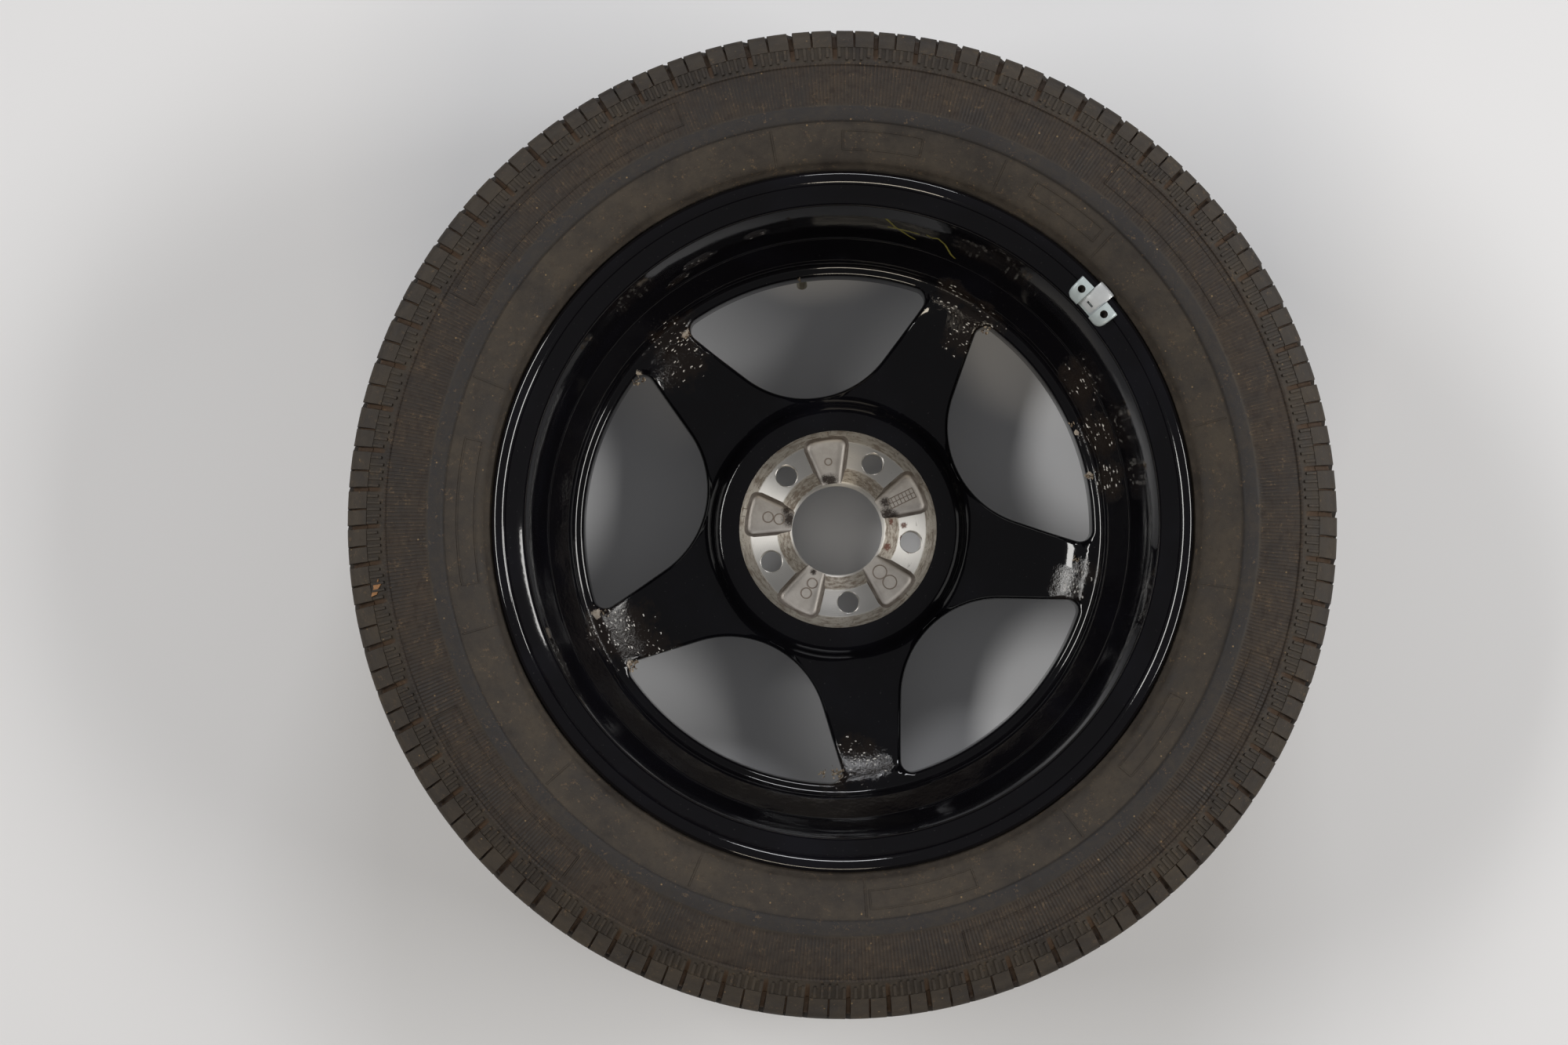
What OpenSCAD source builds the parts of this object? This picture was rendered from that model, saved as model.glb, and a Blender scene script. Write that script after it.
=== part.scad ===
// Full-size spare: five-spoke cast wheel with a mounted road tyre, lying on its outboard sidewall.
// The spin axis is +Z, the hub's mounting pad and the inboard side face up, and Z is 0 on the floor.

/* [Tyre] */
// Diameter over the tread
tyre_od = 679.4; // [672:0.2:690]
// Width over the sidewalls
section_w = 233; // [228:0.5:238]
// Width of the flat part of the tread
tread_w = 180; // [170:1:186]
// Drop of the crown from its middle to the tread edge
crown_drop = 7.7; // [5:0.1:9]
// Thickness under the tread, grooves included
tread_t = 12; // [11:0.5:14]
// Width of the four grooves around the tread
groove_w = 8.5; // [6:0.5:11]
// Depth of the four grooves around the tread
groove_d = 6.5; // [4:0.5:7.5]
// Number of shoulder blocks around one side
blocks = 72; // [60:1:80]
// Width of the slots between shoulder blocks
slot_w = 4.2; // [3:0.2:6]
// Depth of the slots between shoulder blocks
slot_d = 5.5; // [3:0.5:7]
// Lean of those slots from the wheel's axis
slot_lean = 18; // [0:1:30]
// Gap between the tyre's bead and the rim
bead_gap = 0.1; // [0.05:0.05:0.3]

/* [Rim] */
// Width between the rim flanges
rim_w = 177.8; // [172:0.1:182]
// Diameter of the bead seats
seat_d = 436.6; // [435:0.1:438]
// Height of the flanges above the bead seats
flange_h = 17.5; // [16:0.1:18]
// Reach of each flange lip beyond its bead face
lip_w = 11.1; // [10.4:0.1:12]
// Radius of the outside of the drop well
well_r = 199.5; // [198:0.5:201]
// Wall of the drop well
well_t = 6.5; // [5.5:0.5:7.5]

/* [Spokes] */
// Number of spokes
spokes = 5; // [5:1:5]
// Angle of the first spoke from +X
spoke_turn = -10; // [-36:1:36]
// Height of the hub pad above the backs of the spokes
pad_rise = 9.5; // [6:0.5:12]
// Height of the pad's machined edge over the cast shoulder
pad_step = 0.6; // [0.3:0.1:1.2]
// Radius where the pad's shoulder starts to fall to the spoke backs
boss_start = 79.5; // [77:0.5:82]
// Run of that fall, out to where the spoke backs are flat
boss_run = 24; // [18:1:30]
// Radius where the cove that lifts the spoke backs into the ring starts
cove_start = 148; // [142:1:154]
// Radius of that cove's curve
cove_r = 50; // [45:1:60]
// Thickness of the ring that joins the spokes' outer ends
ring_t = 22; // [18:0.5:24]
// Radius of the windows' outer edge in that ring
window_r = 185.1; // [182:0.1:187]
// Radius of each window's round hub end
window_arc_r = 71.8; // [68:0.1:74]
// Distance of that round end's centre from the axis
window_arc_x = 170.3; // [168:0.1:173]
// Angle between a window's straight side and its middle line
window_side = 44.8; // [43:0.1:46]
// Radius of the windows' outer corners
window_corner = 8; // [6:0.5:10]
// Height of the spokes' outer face above the outboard lip
spoke_face = 5.5; // [3:0.5:8]
// Height of the hub's outer face above the outboard lip
hub_face = 15; // [12:0.5:18]

/* [Hub] */
// Inset of the hub pad from the middle of the rim towards the outboard side
offset_et = 45; // [40:0.5:50]
// Diameter of the machined pad
pad_d = 144; // [138:0.5:150]
// Diameter of the centre bore
bore_d = 67.1; // [60:0.1:70]
// Diameter of the lead-in cone at the pad
lead_d = 89.2; // [84:0.2:94]
// Depth of the lead-in cone
lead_h = 5; // [3:0.5:7]
// Diameter of the circle through the bolt holes
pcd = 108; // [106:0.5:112]
// Diameter of the bolt holes
bolt_d = 15.5; // [14:0.1:17]
// Diameter of the bolt pockets in the outer face
bolt_pocket_d = 30; // [27:0.5:32]
// Depth of the relief pockets in the pad
relief_h = 6.2; // [5:0.2:6.4]
// Angular width of the relief pockets
relief_a = 30; // [26:1:32]
// Radius of the relief pockets' outer wall
relief_r = 68.2; // [66:0.2:69]
// Width of the notch in the middle of each pocket's outer wall
notch_w = 6; // [4:0.5:8]
// Depth of that notch under the pad
notch_h = 1.5; // [1:0.25:3]

/* [Valve] */
// Wall under the valve's spot face
valve_wall = 5; // [4:0.5:6]
// Angle of the valve from +X
valve_turn = 98; // [96:0.5:100]
// Diameter of the valve hole
valve_hole_d = 11.5; // [11.3:0.1:11.7]
// Length of the valve from the rim's air side to its tip
valve_len = 35.4; // [34:0.1:38]
// Diameter of the metal stem's threaded tip
stem_d = 7.7; // [7.5:0.05:7.9]
// Travel of the valve core's pin
pin_travel = 1.5; // [1:0.1:1.6]

/* [Balance weight] */
// Angle of the balance weight from +X
weight_turn = 41; // [20:1:60]
// Length of the balance weight along the rim
weight_len = 36; // [28:1:44]
// Thickness of the balance weight
weight_t = 7; // [5:0.5:9]
// Width of the spring clip
clip_w = 12.5; // [10:0.5:15]

/* [Hidden] */
$fn = 96;
e = 0.01;
// overlap of circles with the lines that they round off
lap = 0.03;
mid = section_w / 2;
hw = rim_w / 2;
seat_r = seat_d / 2;
lip_r = seat_r + flange_h;
curl = 9.5;
in_z = mid + hw + lip_w;
out_z = mid - hw - lip_w;
pad_z = mid - offset_et;
back_z = pad_z - pad_rise;
shoulder_z = pad_z - pad_step;
boss_a = 2 * atan((shoulder_z - back_z) / boss_run);
boss_curve = boss_run / 2 / sin(boss_a);
ledge_r = window_r - 2;
cove_a = asin((ledge_r - cove_start) / cove_r);
ledge_z = back_z + cove_r * (1 - cos(cove_a));
ring_z = ledge_z - ring_t;
face_z = out_z + spoke_face;
hub_z = out_z + hub_face;
pitch = 360 / spokes;
barrel_r = well_r - well_t;
// clip: thickness, clearance round the lip and height of its seat over the lip's cone
clip_t = 1;
clip_gap = 0.35;
clip_seat = 3.5;
// valve: fit in its hole, metal left bare at the tip, core's place and sizes
valve_gap = 0.05;
stem_out = 9;
stem_bore_d = 3.4;
core_d = 5.2;
core_l = 5.55;
core_z = valve_len - 7.4;
pin_d = 1.3;
pin_sink = 0.5;
spring_turns = 4;
spring_wire = 0.26;
spring_z = core_z + 2.25;
spring_l = spring_turns * spring_wire + pin_travel;
pin_collar_z = spring_z + spring_l + 0.05;

// Points of an arc about (x, y), from angle a to angle b
function arc(x, y, r, a, b, n = 6) =
    [for (i = [0:n]) let (t = a + (b - a) * i / n) [x + r * cos(t), y + r * sin(t)]];

// Outline of the rim: the flange, seat, hump and barrel of one side, then the other
slope_top = [seat_r - 1.8, mid - hw + 23.9];
slope_low = [well_r, slope_top[1] + (slope_top[0] - well_r) * 15 / 18];
well_top = slope_low[1] + 18;

module rim_outline() {
    polygon(concat(
        // inboard flange: round crest, then the side that the tyre's bead lies against
        arc(lip_r - 4, in_z - 4, 4, 90, 25, 5),
        arc(lip_r - curl, mid + hw + curl, curl, -8, -90, 8),
        arc(seat_r + 6.5, mid + hw - 6.5, 6.5, 90, 180, 5),
        [[seat_r - 1.4, mid + hw - 21], [seat_r - 0.4, mid + hw - 24], [seat_r - 1.9, mid + hw - 28]],
        [[seat_r - 5.6, well_top + 16], [well_r + 0.8, well_top + 1], [well_r, well_top - 1]],
        // outboard slope of the well, hump, seat and flange
        [slope_low, slope_top, [seat_r - 0.5, slope_top[1] - 2.6], [seat_r - 1.3, slope_top[1] - 5.2]],
        arc(seat_r + 6.5, mid - hw + 6.5, 6.5, 180, 270, 5),
        arc(lip_r - curl, mid - hw - curl, curl, 90, 0, 8),
        arc(lip_r - 1.2, out_z + 1.2, 1.2, 0, -90, 3),
        // outboard side that faces out
        [[lip_r - 5, out_z], [lip_r - 11, out_z + 1.4]],
        [[seat_r - 1.3, face_z], [ledge_r, face_z], [ledge_r, ledge_z]],
        // ledge round the windows, then the barrel
        arc(barrel_r - 4.5, ledge_z + 4.5, 4.5, 270, 360, 4),
        [[barrel_r, well_top], [barrel_r + 1, well_top + 2]],
        [[seat_r - 9.8, well_top + 19], [seat_r - 9.3, well_top + 22]],
        [[seat_r - 6.2, mid + 42], [seat_r - 4.4, in_z - 12]],
        arc(lip_r - 4.5, in_z - 6, 6, 152, 92, 6)));
}

// Hub and spokes as one turned disc: pad, boss shoulder, spoke backs with their cove, dished outer face
module disc_outline() {
    polygon(concat(
        [[0, pad_z], [pad_d / 2, pad_z], [pad_d / 2 + pad_step, shoulder_z]],
        arc(boss_start, shoulder_z - boss_curve, boss_curve, 90, 90 - boss_a, 6),
        arc(boss_start + boss_run, back_z + boss_curve, boss_curve, 270 - boss_a, 270, 6),
        arc(cove_start, back_z + cove_r, cove_r, 270, 270 + cove_a, 8),
        [[ledge_r + 3, ledge_z], [ledge_r + 3, face_z]],
        arc(150, face_z + 120, 120, 270, 249, 6),
        [[62, hub_z - 1], [58, hub_z], [0, hub_z]]));
}

// Plan of one window about +X: a round hub end, two straight sides and an outer arc of radius r
module window_plan(r, grow = 0) {
    a = window_side;
    ar = window_arc_r + grow;
    cr = max(window_corner - grow, 0.5);
    t = [window_arc_x - ar * sin(a), ar * cos(a)];
    // side line at distance d from the axis; the corner circle touches it and the outer arc
    d = t[0] * sin(a) - t[1] * cos(a);
    b = a - asin((d + cr) / (r - cr));
    c = [(r - cr) * cos(b), (r - cr) * sin(b)];
    f = [c[0] - cr * sin(a), c[1] + cr * cos(a)];
    g = [r * cos(b), r * sin(b)];
    intersection() {
        circle(r);
        union() {
            translate([window_arc_x, 0]) circle(ar + lap);
            polygon([[t[0], -t[1]], [f[0], -f[1]], [c[0], -c[1]], [g[0], -g[1]],
                     [r * 1.1, -g[1]], [r * 1.1, g[1]], g, c, f, t]);
            for (s = [-1, 1]) translate([c[0], s * c[1]]) circle(cr + lap, $fn = 48);
        }
    }
}

module around_windows() {
    for (i = [0:spokes - 1]) rotate([0, 0, spoke_turn + pitch * (i + 0.5)]) children();
}

module around_spokes() {
    for (i = [0:spokes - 1]) rotate([0, 0, spoke_turn + pitch * i]) children();
}

// Seat, frame and hole of the valve: its axis leaves the slope of the well at a right angle
valve_tilt = atan2(slope_top[0] - slope_low[0], slope_low[1] - slope_top[1]);
valve_at = (slope_top + slope_low) / 2;

module valve_frame() {
    rotate([0, 0, valve_turn]) translate([valve_at[0], 0, valve_at[1]])
        rotate([0, 180 + 90 - valve_tilt, 0]) children();
}

module wheel() {
    color("#15161a") difference() {
        rotate_extrude() union() {
            rim_outline();
            disc_outline();
        }
        // windows: right through, then wider on the outer side of the ring, where the valve sits
        around_windows() {
            translate([0, 0, -1]) linear_extrude(pad_z + 30) window_plan(window_r);
            translate([0, 0, -2]) linear_extrude(ring_z + 2) window_plan(seat_r - 9, -0.4);
        }
        // centre bore with its lead-in cone and the cap's seat
        rotate_extrude() polygon([[0, -1], [bore_d / 2 + 3.5, -1], [bore_d / 2 + 3.5, hub_z + 2.5],
            [bore_d / 2, hub_z + 2.5], [bore_d / 2, pad_z - lead_h - 1.5],
            [bore_d / 2 + 0.95, pad_z - lead_h], [lead_d / 2, pad_z], [lead_d / 2 + 2, pad_z + 2], [0, pad_z + 2]]);
        // bolt holes, their cone seats and pockets
        around_spokes() translate([pcd / 2, 0, 0]) {
            cylinder(d = bolt_d, h = 200, $fn = 48);
            translate([0, 0, hub_z + 13]) cylinder(d1 = bolt_d + 11.5, d2 = bolt_d, h = 10, $fn = 48);
            translate([0, 0, -1]) cylinder(d = bolt_pocket_d, h = hub_z + 14, $fn = 48);
        }
        // relief pockets between the bolt holes, each with its notch
        around_windows() {
            translate([0, 0, pad_z - relief_h]) linear_extrude(relief_h + 1) relief_plan();
            translate([relief_r - 2, -notch_w / 2, pad_z - notch_h]) cube([5.2, notch_w, notch_h + 1]);
        }
        // valve hole and its spot face
        valve_frame() {
            translate([0, 0, -10]) cylinder(d = valve_hole_d, h = 10 + valve_len, $fn = 48);
            translate([0, 0, valve_wall]) cylinder(d = valve_hole_d + 8, h = valve_len - valve_wall, $fn = 48);
        }
    }
}

// Plan of one relief pocket about +X, with round outer corners
module relief_plan() {
    c = 5;
    b = relief_a / 2 - asin(c / (relief_r - c));
    p = [(relief_r - c) * cos(b), (relief_r - c) * sin(b)];
    s = relief_a / 2;
    f = [p[0] - c * sin(s), p[1] + c * cos(s)];
    g = [relief_r * cos(b), relief_r * sin(b)];
    k = 20;
    intersection() {
        circle(relief_r);
        union() {
            polygon([[k * cos(s), -k * sin(s)], [f[0], -f[1]], [p[0], -p[1]], [g[0], -g[1]],
                     [relief_r * 1.1, -g[1]], [relief_r * 1.1, g[1]], g, p, f, [k * cos(s), k * sin(s)]]);
            for (m = [-1, 1]) translate([p[0], m * p[1]]) circle(c + lap, $fn = 48);
        }
    }
}

// Outline of the tyre: one half from the middle of the tread to the bead, then its mirror
tw = tread_w / 2;
od_r = tyre_od / 2;
edge_h = od_r - crown_drop;
sw = section_w / 2;
// Radius at a share of the way from the rim's lip to the tread's edge
function flank(t) = lip_r + (edge_h - lip_r) * t;
function half_out() = concat(
    [[od_r, 0], [od_r - crown_drop * 0.04, tw * 0.28], [od_r - crown_drop * 0.18, tw * 0.55],
     [od_r - crown_drop * 0.55, tw * 0.86]],
    arc(edge_h - 3, tw - 4, 5, 15, 62, 4),
    [[edge_h - 8, tw + 6], [edge_h - 13.3, sw - 12.3], [edge_h - 25, sw - 5.7], [edge_h - 26.5, sw - 5.5],
     [edge_h - 27, sw - 6.3], [flank(0.62), sw - 2.8], [flank(0.51), sw - 1.1], [flank(0.422), sw - 0.7],
     [flank(0.418), sw], [flank(0.366), sw], [flank(0.316), sw - 0.7], [flank(0.31), sw - 1.9],
     [flank(0.231), sw - 4], [flank(0.148), sw - 7], [flank(0.075), sw - 10.8], [flank(0.049), sw - 13.2],
     [lip_r + 2.5, hw + curl + 2], [lip_r + 1.4, hw + curl - 1.5]],
    arc(lip_r - curl, hw + curl, curl + bead_gap, -20, -90, 6),
    arc(seat_r + 6.5 + bead_gap, hw - 6.5 - bead_gap, 6.5, 90, 180, 5),
    [[seat_r - 1.1 + bead_gap, hw - 18], [seat_r + 1.5, hw - 19.5]]);
function half_in() =
    [[seat_r + 11.7, hw - 10], [flank(0.095), hw + 7.5], [flank(0.273), sw - 11], [flank(0.48), sw - 8.5],
     [flank(0.67), sw - 12], [flank(0.815), sw - 20],
     [edge_h - tread_t + 2, tw - 10], [od_r - tread_t, tw * 0.5], [od_r - tread_t, 0]];

module tyre_outline() {
    h = concat(half_out(), half_in());
    n = len(h);
    translate([0, mid]) difference() {
        polygon(concat(h, [for (i = [n - 2:-1:1]) [h[i][0], -h[i][1]]]));
        for (s = [-tw * 0.58, -tw * 0.2, tw * 0.2, tw * 0.58])
            translate([od_r - groove_d - 0.4, s - groove_w / 2]) square([40, groove_w]);
    }
}

module tyre() {
    color("#3a332c") difference() {
        rotate_extrude() tyre_outline();
        for (i = [0:blocks - 1]) rotate([0, 0, 360 / blocks * (i + 0.5)]) for (s = [-1, 1])
            translate([edge_h - slot_d, 0, mid + s * (tw + 3)]) rotate([slot_lean, 0, 0])
                translate([0, -slot_w / 2, -26]) cube([30, slot_w, 52]);
    }
}

// Section of the rim's inboard lip that the weight and its clip lie against
lip_in = [lip_r - 9.8, in_z - 3.2];
lip_low = [seat_r - 4.4, in_z - 12];
lip_u = (lip_low - lip_in) / norm(lip_low - lip_in);
lip_v = [lip_u[1], -lip_u[0]];

// Point l along the lip's inner cone from its top and t over it
function on_lip(l, t) = lip_in + lip_u * l + lip_v * t;

// Sector of half angle a about +X
module wedge(a) {
    linear_extrude(400) polygon([[0, 0], [400 * cos(a), -400 * sin(a)], [400 * cos(a), 400 * sin(a)]]);
}

module balance_weight() {
    a = weight_len / lip_r * 180 / PI / 2;
    dimple_a = a * 0.72;
    seat_t = clip_seat - 0.05;
    color("#a9adb2") rotate([0, 0, weight_turn]) difference() {
        intersection() {
            rotate_extrude() polygon([on_lip(1, 0.1), on_lip(14.6, 0.1), on_lip(14.6, weight_t - 2.5),
                on_lip(13.6, weight_t - 0.8), on_lip(12, weight_t), on_lip(2.5, weight_t), on_lip(1, weight_t - 1.5)]);
            wedge(a);
        }
        // seat of the clip between the two lobes
        intersection() {
            rotate_extrude() polygon([on_lip(-5, seat_t), on_lip(20, seat_t), on_lip(20, 20), on_lip(-5, 20)]);
            translate([100, -clip_w / 2 - 0.3, 0]) cube([200, clip_w + 0.6, 400]);
        }
        for (m = [-1, 1]) rotate([0, 0, m * dimple_a]) {
            p = on_lip(7.6, weight_t - 2.2);
            translate([p[0], 0, p[1]]) rotate([0, atan2(lip_v[0], lip_v[1]), 0]) cylinder(d = 4.4, h = 10, $fn = 32);
        }
    }
}

module weight_clip() {
    t0 = clip_seat;
    t1 = clip_seat + clip_t;
    hook = lip_r + clip_gap;
    top = in_z + clip_gap;
    color("#c3c6ca") rotate([0, 0, weight_turn]) difference() {
        intersection() {
            rotate_extrude() polygon([on_lip(15, t0), on_lip(0, t0), [lip_r - 4.5, top], [lip_r - 1.1, top],
                [hook, top - 1.3], [hook, in_z - 3], [hook + clip_t, in_z - 3], [hook + clip_t, top - 0.5],
                [lip_r - 0.4, top + clip_t], [lip_r - 5, top + clip_t], on_lip(-0.8, t1), on_lip(15, t1)]);
            translate([100, -clip_w / 2, 0]) cube([200, clip_w, 400]);
        }
        // small slot near the clip's lower end
        translate([on_lip(10.5, 0)[0] - 1.2, -2, in_z - 20]) cube([2.4, 4, 40]);
    }
}

module valve_body() {
    color("#1c1c1c") valve_frame() difference() {
        union() {
            translate([0, 0, -4.6]) cylinder(d1 = 14, d2 = 19, h = 2.6, $fn = 48);
            translate([0, 0, -2 - e]) cylinder(d = 19, h = 2 - valve_gap, $fn = 48);
            translate([0, 0, -1]) cylinder(d = valve_hole_d - 2 * valve_gap, h = valve_wall + 2, $fn = 48);
            translate([0, 0, valve_wall + valve_gap]) cylinder(d1 = 15, d2 = 13, h = 3, $fn = 48);
            translate([0, 0, valve_wall + 3]) cylinder(d1 = 13, d2 = stem_d + 2,
                h = valve_len - valve_wall - 3 - stem_out, $fn = 48);
        }
        translate([0, 0, -10]) cylinder(d = stem_bore_d + 1.4, h = 60, $fn = 48);
    }
}

module valve_stem() {
    color("#c9b37a") valve_frame() difference() {
        union() {
            translate([0, 0, -4]) cylinder(d = stem_bore_d + 1.4 - 0.04, h = valve_len + 4 - stem_out, $fn = 48);
            translate([0, 0, valve_len - stem_out + 0.05]) cylinder(d = stem_d, h = stem_out - 0.65, $fn = 48);
            translate([0, 0, valve_len - stem_out - e]) cylinder(d = stem_bore_d + 1.4 - 0.04, h = 1, $fn = 48);
            translate([0, 0, valve_len - 0.6 - e]) cylinder(d1 = stem_d, d2 = stem_d - 1.2, h = 0.6 + e, $fn = 48);
        }
        translate([0, 0, -10]) cylinder(d = stem_bore_d, h = 60, $fn = 48);
        translate([0, 0, core_z - 0.6]) cylinder(d = core_d + 0.1, h = 20, $fn = 48);
    }
}

module core_housing() {
    color("#d2bd86") valve_frame() difference() {
        translate([0, 0, core_z + 1.25]) cylinder(d = core_d, h = core_l, $fn = 48);
        translate([0, 0, core_z]) cylinder(d = pin_d + 0.12, h = 9, $fn = 32);
        translate([0, 0, core_z + 2.2]) cylinder(d = core_d - 1.5, h = 9, $fn = 32);
    }
}

module core_gasket() {
    color("#7a1f1a") valve_frame() translate([0, 0, core_z - 0.55]) difference() {
        cylinder(d = core_d - 0.1, h = 1.75, $fn = 48);
        translate([0, 0, -1]) cylinder(d = pin_d + 0.3, h = 5, $fn = 32);
    }
}

// Coil as stacked rings joined by webs; closed up, it leaves the pin's whole travel
module core_spring() {
    step = (spring_l - spring_wire) / (spring_turns - 1);
    color("#9a9a9a") valve_frame() translate([0, 0, spring_z]) difference() {
        cylinder(d = core_d - 1.8, h = spring_l, $fn = 32);
        translate([0, 0, -1]) cylinder(d = core_d - 2.8, h = spring_l + 2, $fn = 32);
        for (i = [0:spring_turns - 2]) translate([0, 0, step * i + spring_wire]) difference() {
            cylinder(d = core_d, h = step - spring_wire, $fn = 32);
            rotate([0, 0, 90 * i]) translate([0.6, -0.4, -1]) cube([4, 0.8, 4]);
        }
    }
}

module core_pin() {
    color("#c7c7c7") valve_frame() {
        translate([0, 0, core_z - 2]) cylinder(d = pin_d, h = valve_len - pin_sink - core_z + 2, $fn = 32);
        translate([0, 0, core_z - 1.65]) cylinder(d = stem_bore_d - 0.6, h = 1.05, $fn = 32);
        translate([0, 0, pin_collar_z]) cylinder(d = core_d - 2.2, h = 0.5, $fn = 32);
    }
}

wheel();
tyre();
balance_weight();
weight_clip();
valve_body();
valve_stem();
core_housing();
core_gasket();
core_spring();
core_pin();
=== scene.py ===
"""Full-size spare wheel on its street side: cast five-spoke wheel, mounted tyre, clip-on weight and valve."""

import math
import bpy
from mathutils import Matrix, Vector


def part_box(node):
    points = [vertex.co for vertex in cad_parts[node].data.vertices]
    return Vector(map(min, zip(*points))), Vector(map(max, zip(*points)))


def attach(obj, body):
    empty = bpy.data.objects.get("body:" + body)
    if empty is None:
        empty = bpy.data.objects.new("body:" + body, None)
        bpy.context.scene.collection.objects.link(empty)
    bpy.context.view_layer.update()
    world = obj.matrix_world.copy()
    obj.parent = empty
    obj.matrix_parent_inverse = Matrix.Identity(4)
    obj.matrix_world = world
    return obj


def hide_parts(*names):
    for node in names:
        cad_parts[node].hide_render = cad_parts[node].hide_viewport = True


bl_info = {
    "name": "Spare wheel",
    "version": (1, 0, 0),
    "blender": (4, 5, 0),
    "location": "View3D > Sidebar > Spare wheel",
    "description": "Builds the looks of a full-size spare wheel around its packed frame",
    "category": "Object",
}

import bmesh
import bpy
import numpy as np
from mathutils import Euler, Vector

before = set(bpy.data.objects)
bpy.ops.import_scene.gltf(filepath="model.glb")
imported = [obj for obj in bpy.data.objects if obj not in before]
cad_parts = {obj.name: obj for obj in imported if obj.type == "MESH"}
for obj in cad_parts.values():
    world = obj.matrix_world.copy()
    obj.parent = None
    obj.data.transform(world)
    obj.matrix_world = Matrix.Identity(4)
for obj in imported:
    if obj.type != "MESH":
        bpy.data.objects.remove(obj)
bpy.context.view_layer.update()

MM = 0.001
WHEEL_LOW, WHEEL_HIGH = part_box("wheel")
TYRE_LOW, TYRE_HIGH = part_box("tyre")

# Radii and heights of the wheel's faces above the floor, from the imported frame
LIP_R = WHEEL_HIGH.x
IN_Z = WHEEL_HIGH.z
OUT_Z = WHEEL_LOW.z
MID_Z = (IN_Z + OUT_Z) / 2
SECTION_HALF = (TYRE_HIGH.z - TYRE_LOW.z) / 2
TYRE_R = TYRE_HIGH.x
SEAT_R = LIP_R - 17.5 * MM
PAD_Z = MID_Z - 45 * MM
BACK_Z = PAD_Z - 9.5 * MM
FACE_Z = OUT_Z + 5.5 * MM
HUB_Z = OUT_Z + 15 * MM
BARREL_R = 193 * MM
WELL_R = 199.5 * MM
WELL_TOP = 83.7 * MM
# Half the width between the rim flanges, and the radius of their rolled lips
RIM_HALF = 88.9 * MM
FLANGE_CURL = 9.5 * MM
# Inside of the barrel from its foot to the lip's cone, and the cone's top, as (radius, height)
BARREL_LINE = (
    (BARREL_R, WELL_TOP), (BARREL_R + 1.5 * MM, WELL_TOP + 3 * MM), (SEAT_R - 9.8 * MM, WELL_TOP + 19 * MM),
    (SEAT_R - 9.3 * MM, WELL_TOP + 22 * MM), (SEAT_R - 6.2 * MM, MID_Z + 42 * MM),
    (SEAT_R - 4.4 * MM, IN_Z - 12 * MM),
)
LIP_TOP = (LIP_R - 9.8 * MM, IN_Z - 3.2 * MM)
# Spoke backs: flat, then a cove up to the ledge round the windows
COVE_START = 148 * MM
COVE_R = 50 * MM
LEDGE_R = 183.1 * MM
LEDGE_Z = BACK_Z + COVE_R - math.sqrt(COVE_R**2 - (LEDGE_R - COVE_START) ** 2)
RING_Z = LEDGE_Z - 22 * MM
# Hub: bore, mouth of its lead-in cone, pad with its step, and the boss around it
BORE_R = 33.55 * MM
LEAD_R = 44.6 * MM
PAD_R = 72 * MM
STEP_R = 61.4 * MM
STEP_DEPTH = 0.5 * MM
BOSS_START = 79.5 * MM
BOSS_RUN = 24 * MM
PCD_R = 54 * MM
POCKET_R = 68.2 * MM
POCKET_DEPTH = 6.3 * MM
SPOKES = 5
SPOKE_TURN = -10.0
WINDOW_TURN = SPOKE_TURN + 180 / SPOKES
HALF_SECTOR = math.pi / SPOKES
# Points along the parts of half a window's outline: hub end, side, corner and outer arc
WINDOW_STEPS = (24, 32, 8, 24)


def linear(code, alpha=1.0):
    """Turns an sRGB hex colour such as #8090a0 into linear RGBA."""
    parts = [int(code[i : i + 2], 16) / 255 for i in (1, 3, 5)]
    return tuple(c / 12.92 if c <= 0.04045 else ((c + 0.055) / 1.055) ** 2.4 for c in parts) + (alpha,)


def feed(tree, node, inputs):
    """Sets a node's inputs. Each takes a value, a socket, or a node, which gives its first output in use."""
    for key, value in inputs.items() if isinstance(inputs, dict) else enumerate(inputs):
        if isinstance(value, bpy.types.Node):
            value = next(output for output in value.outputs if output.enabled)
        if isinstance(value, bpy.types.NodeSocket):
            tree.links.new(value, node.inputs[key])
        elif value is not None:
            node.inputs[key].default_value = value


def add(tree, kind, inputs=(), **settings):
    """Adds one node with its settings; inputs is a list in their order, or a dict by number or name."""
    node = tree.nodes.new("ShaderNode" + kind)
    for name, value in settings.items():
        setattr(node, name, value)
    feed(tree, node, inputs)
    return node


def polar(radius, angle, z):
    """A point from its radius, its angle in degrees from +X, and its height."""
    turn = math.radians(angle)
    return Vector((radius * math.cos(turn), radius * math.sin(turn), z))


def softened(corners, radius, steps=3):
    """An open outline with each inner corner turned into a short curve of about that radius."""
    points = [Vector(corners[0])]
    for before, corner, after in zip(corners, corners[1:], corners[2:]):
        b = Vector(before)
        c = Vector(corner)
        a = Vector(after)
        reach = min(radius, (b - c).length * 0.45, (a - c).length * 0.45)
        start = c + (b - c).normalized() * reach
        end = c + (a - c).normalized() * reach
        for i in range(steps + 1):
            t = i / steps
            points.append(start * (1 - t) ** 2 + c * 2 * t * (1 - t) + end * t * t)
    return points + [Vector(corners[-1])]


def arc(x, z, radius, start, end, steps=6):
    """Points of an arc about (x, z), with angles in degrees."""
    turns = [math.radians(start + (end - start) * i / steps) for i in range(steps + 1)]
    return [(x + radius * math.cos(t), z + radius * math.sin(t)) for t in turns]


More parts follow.
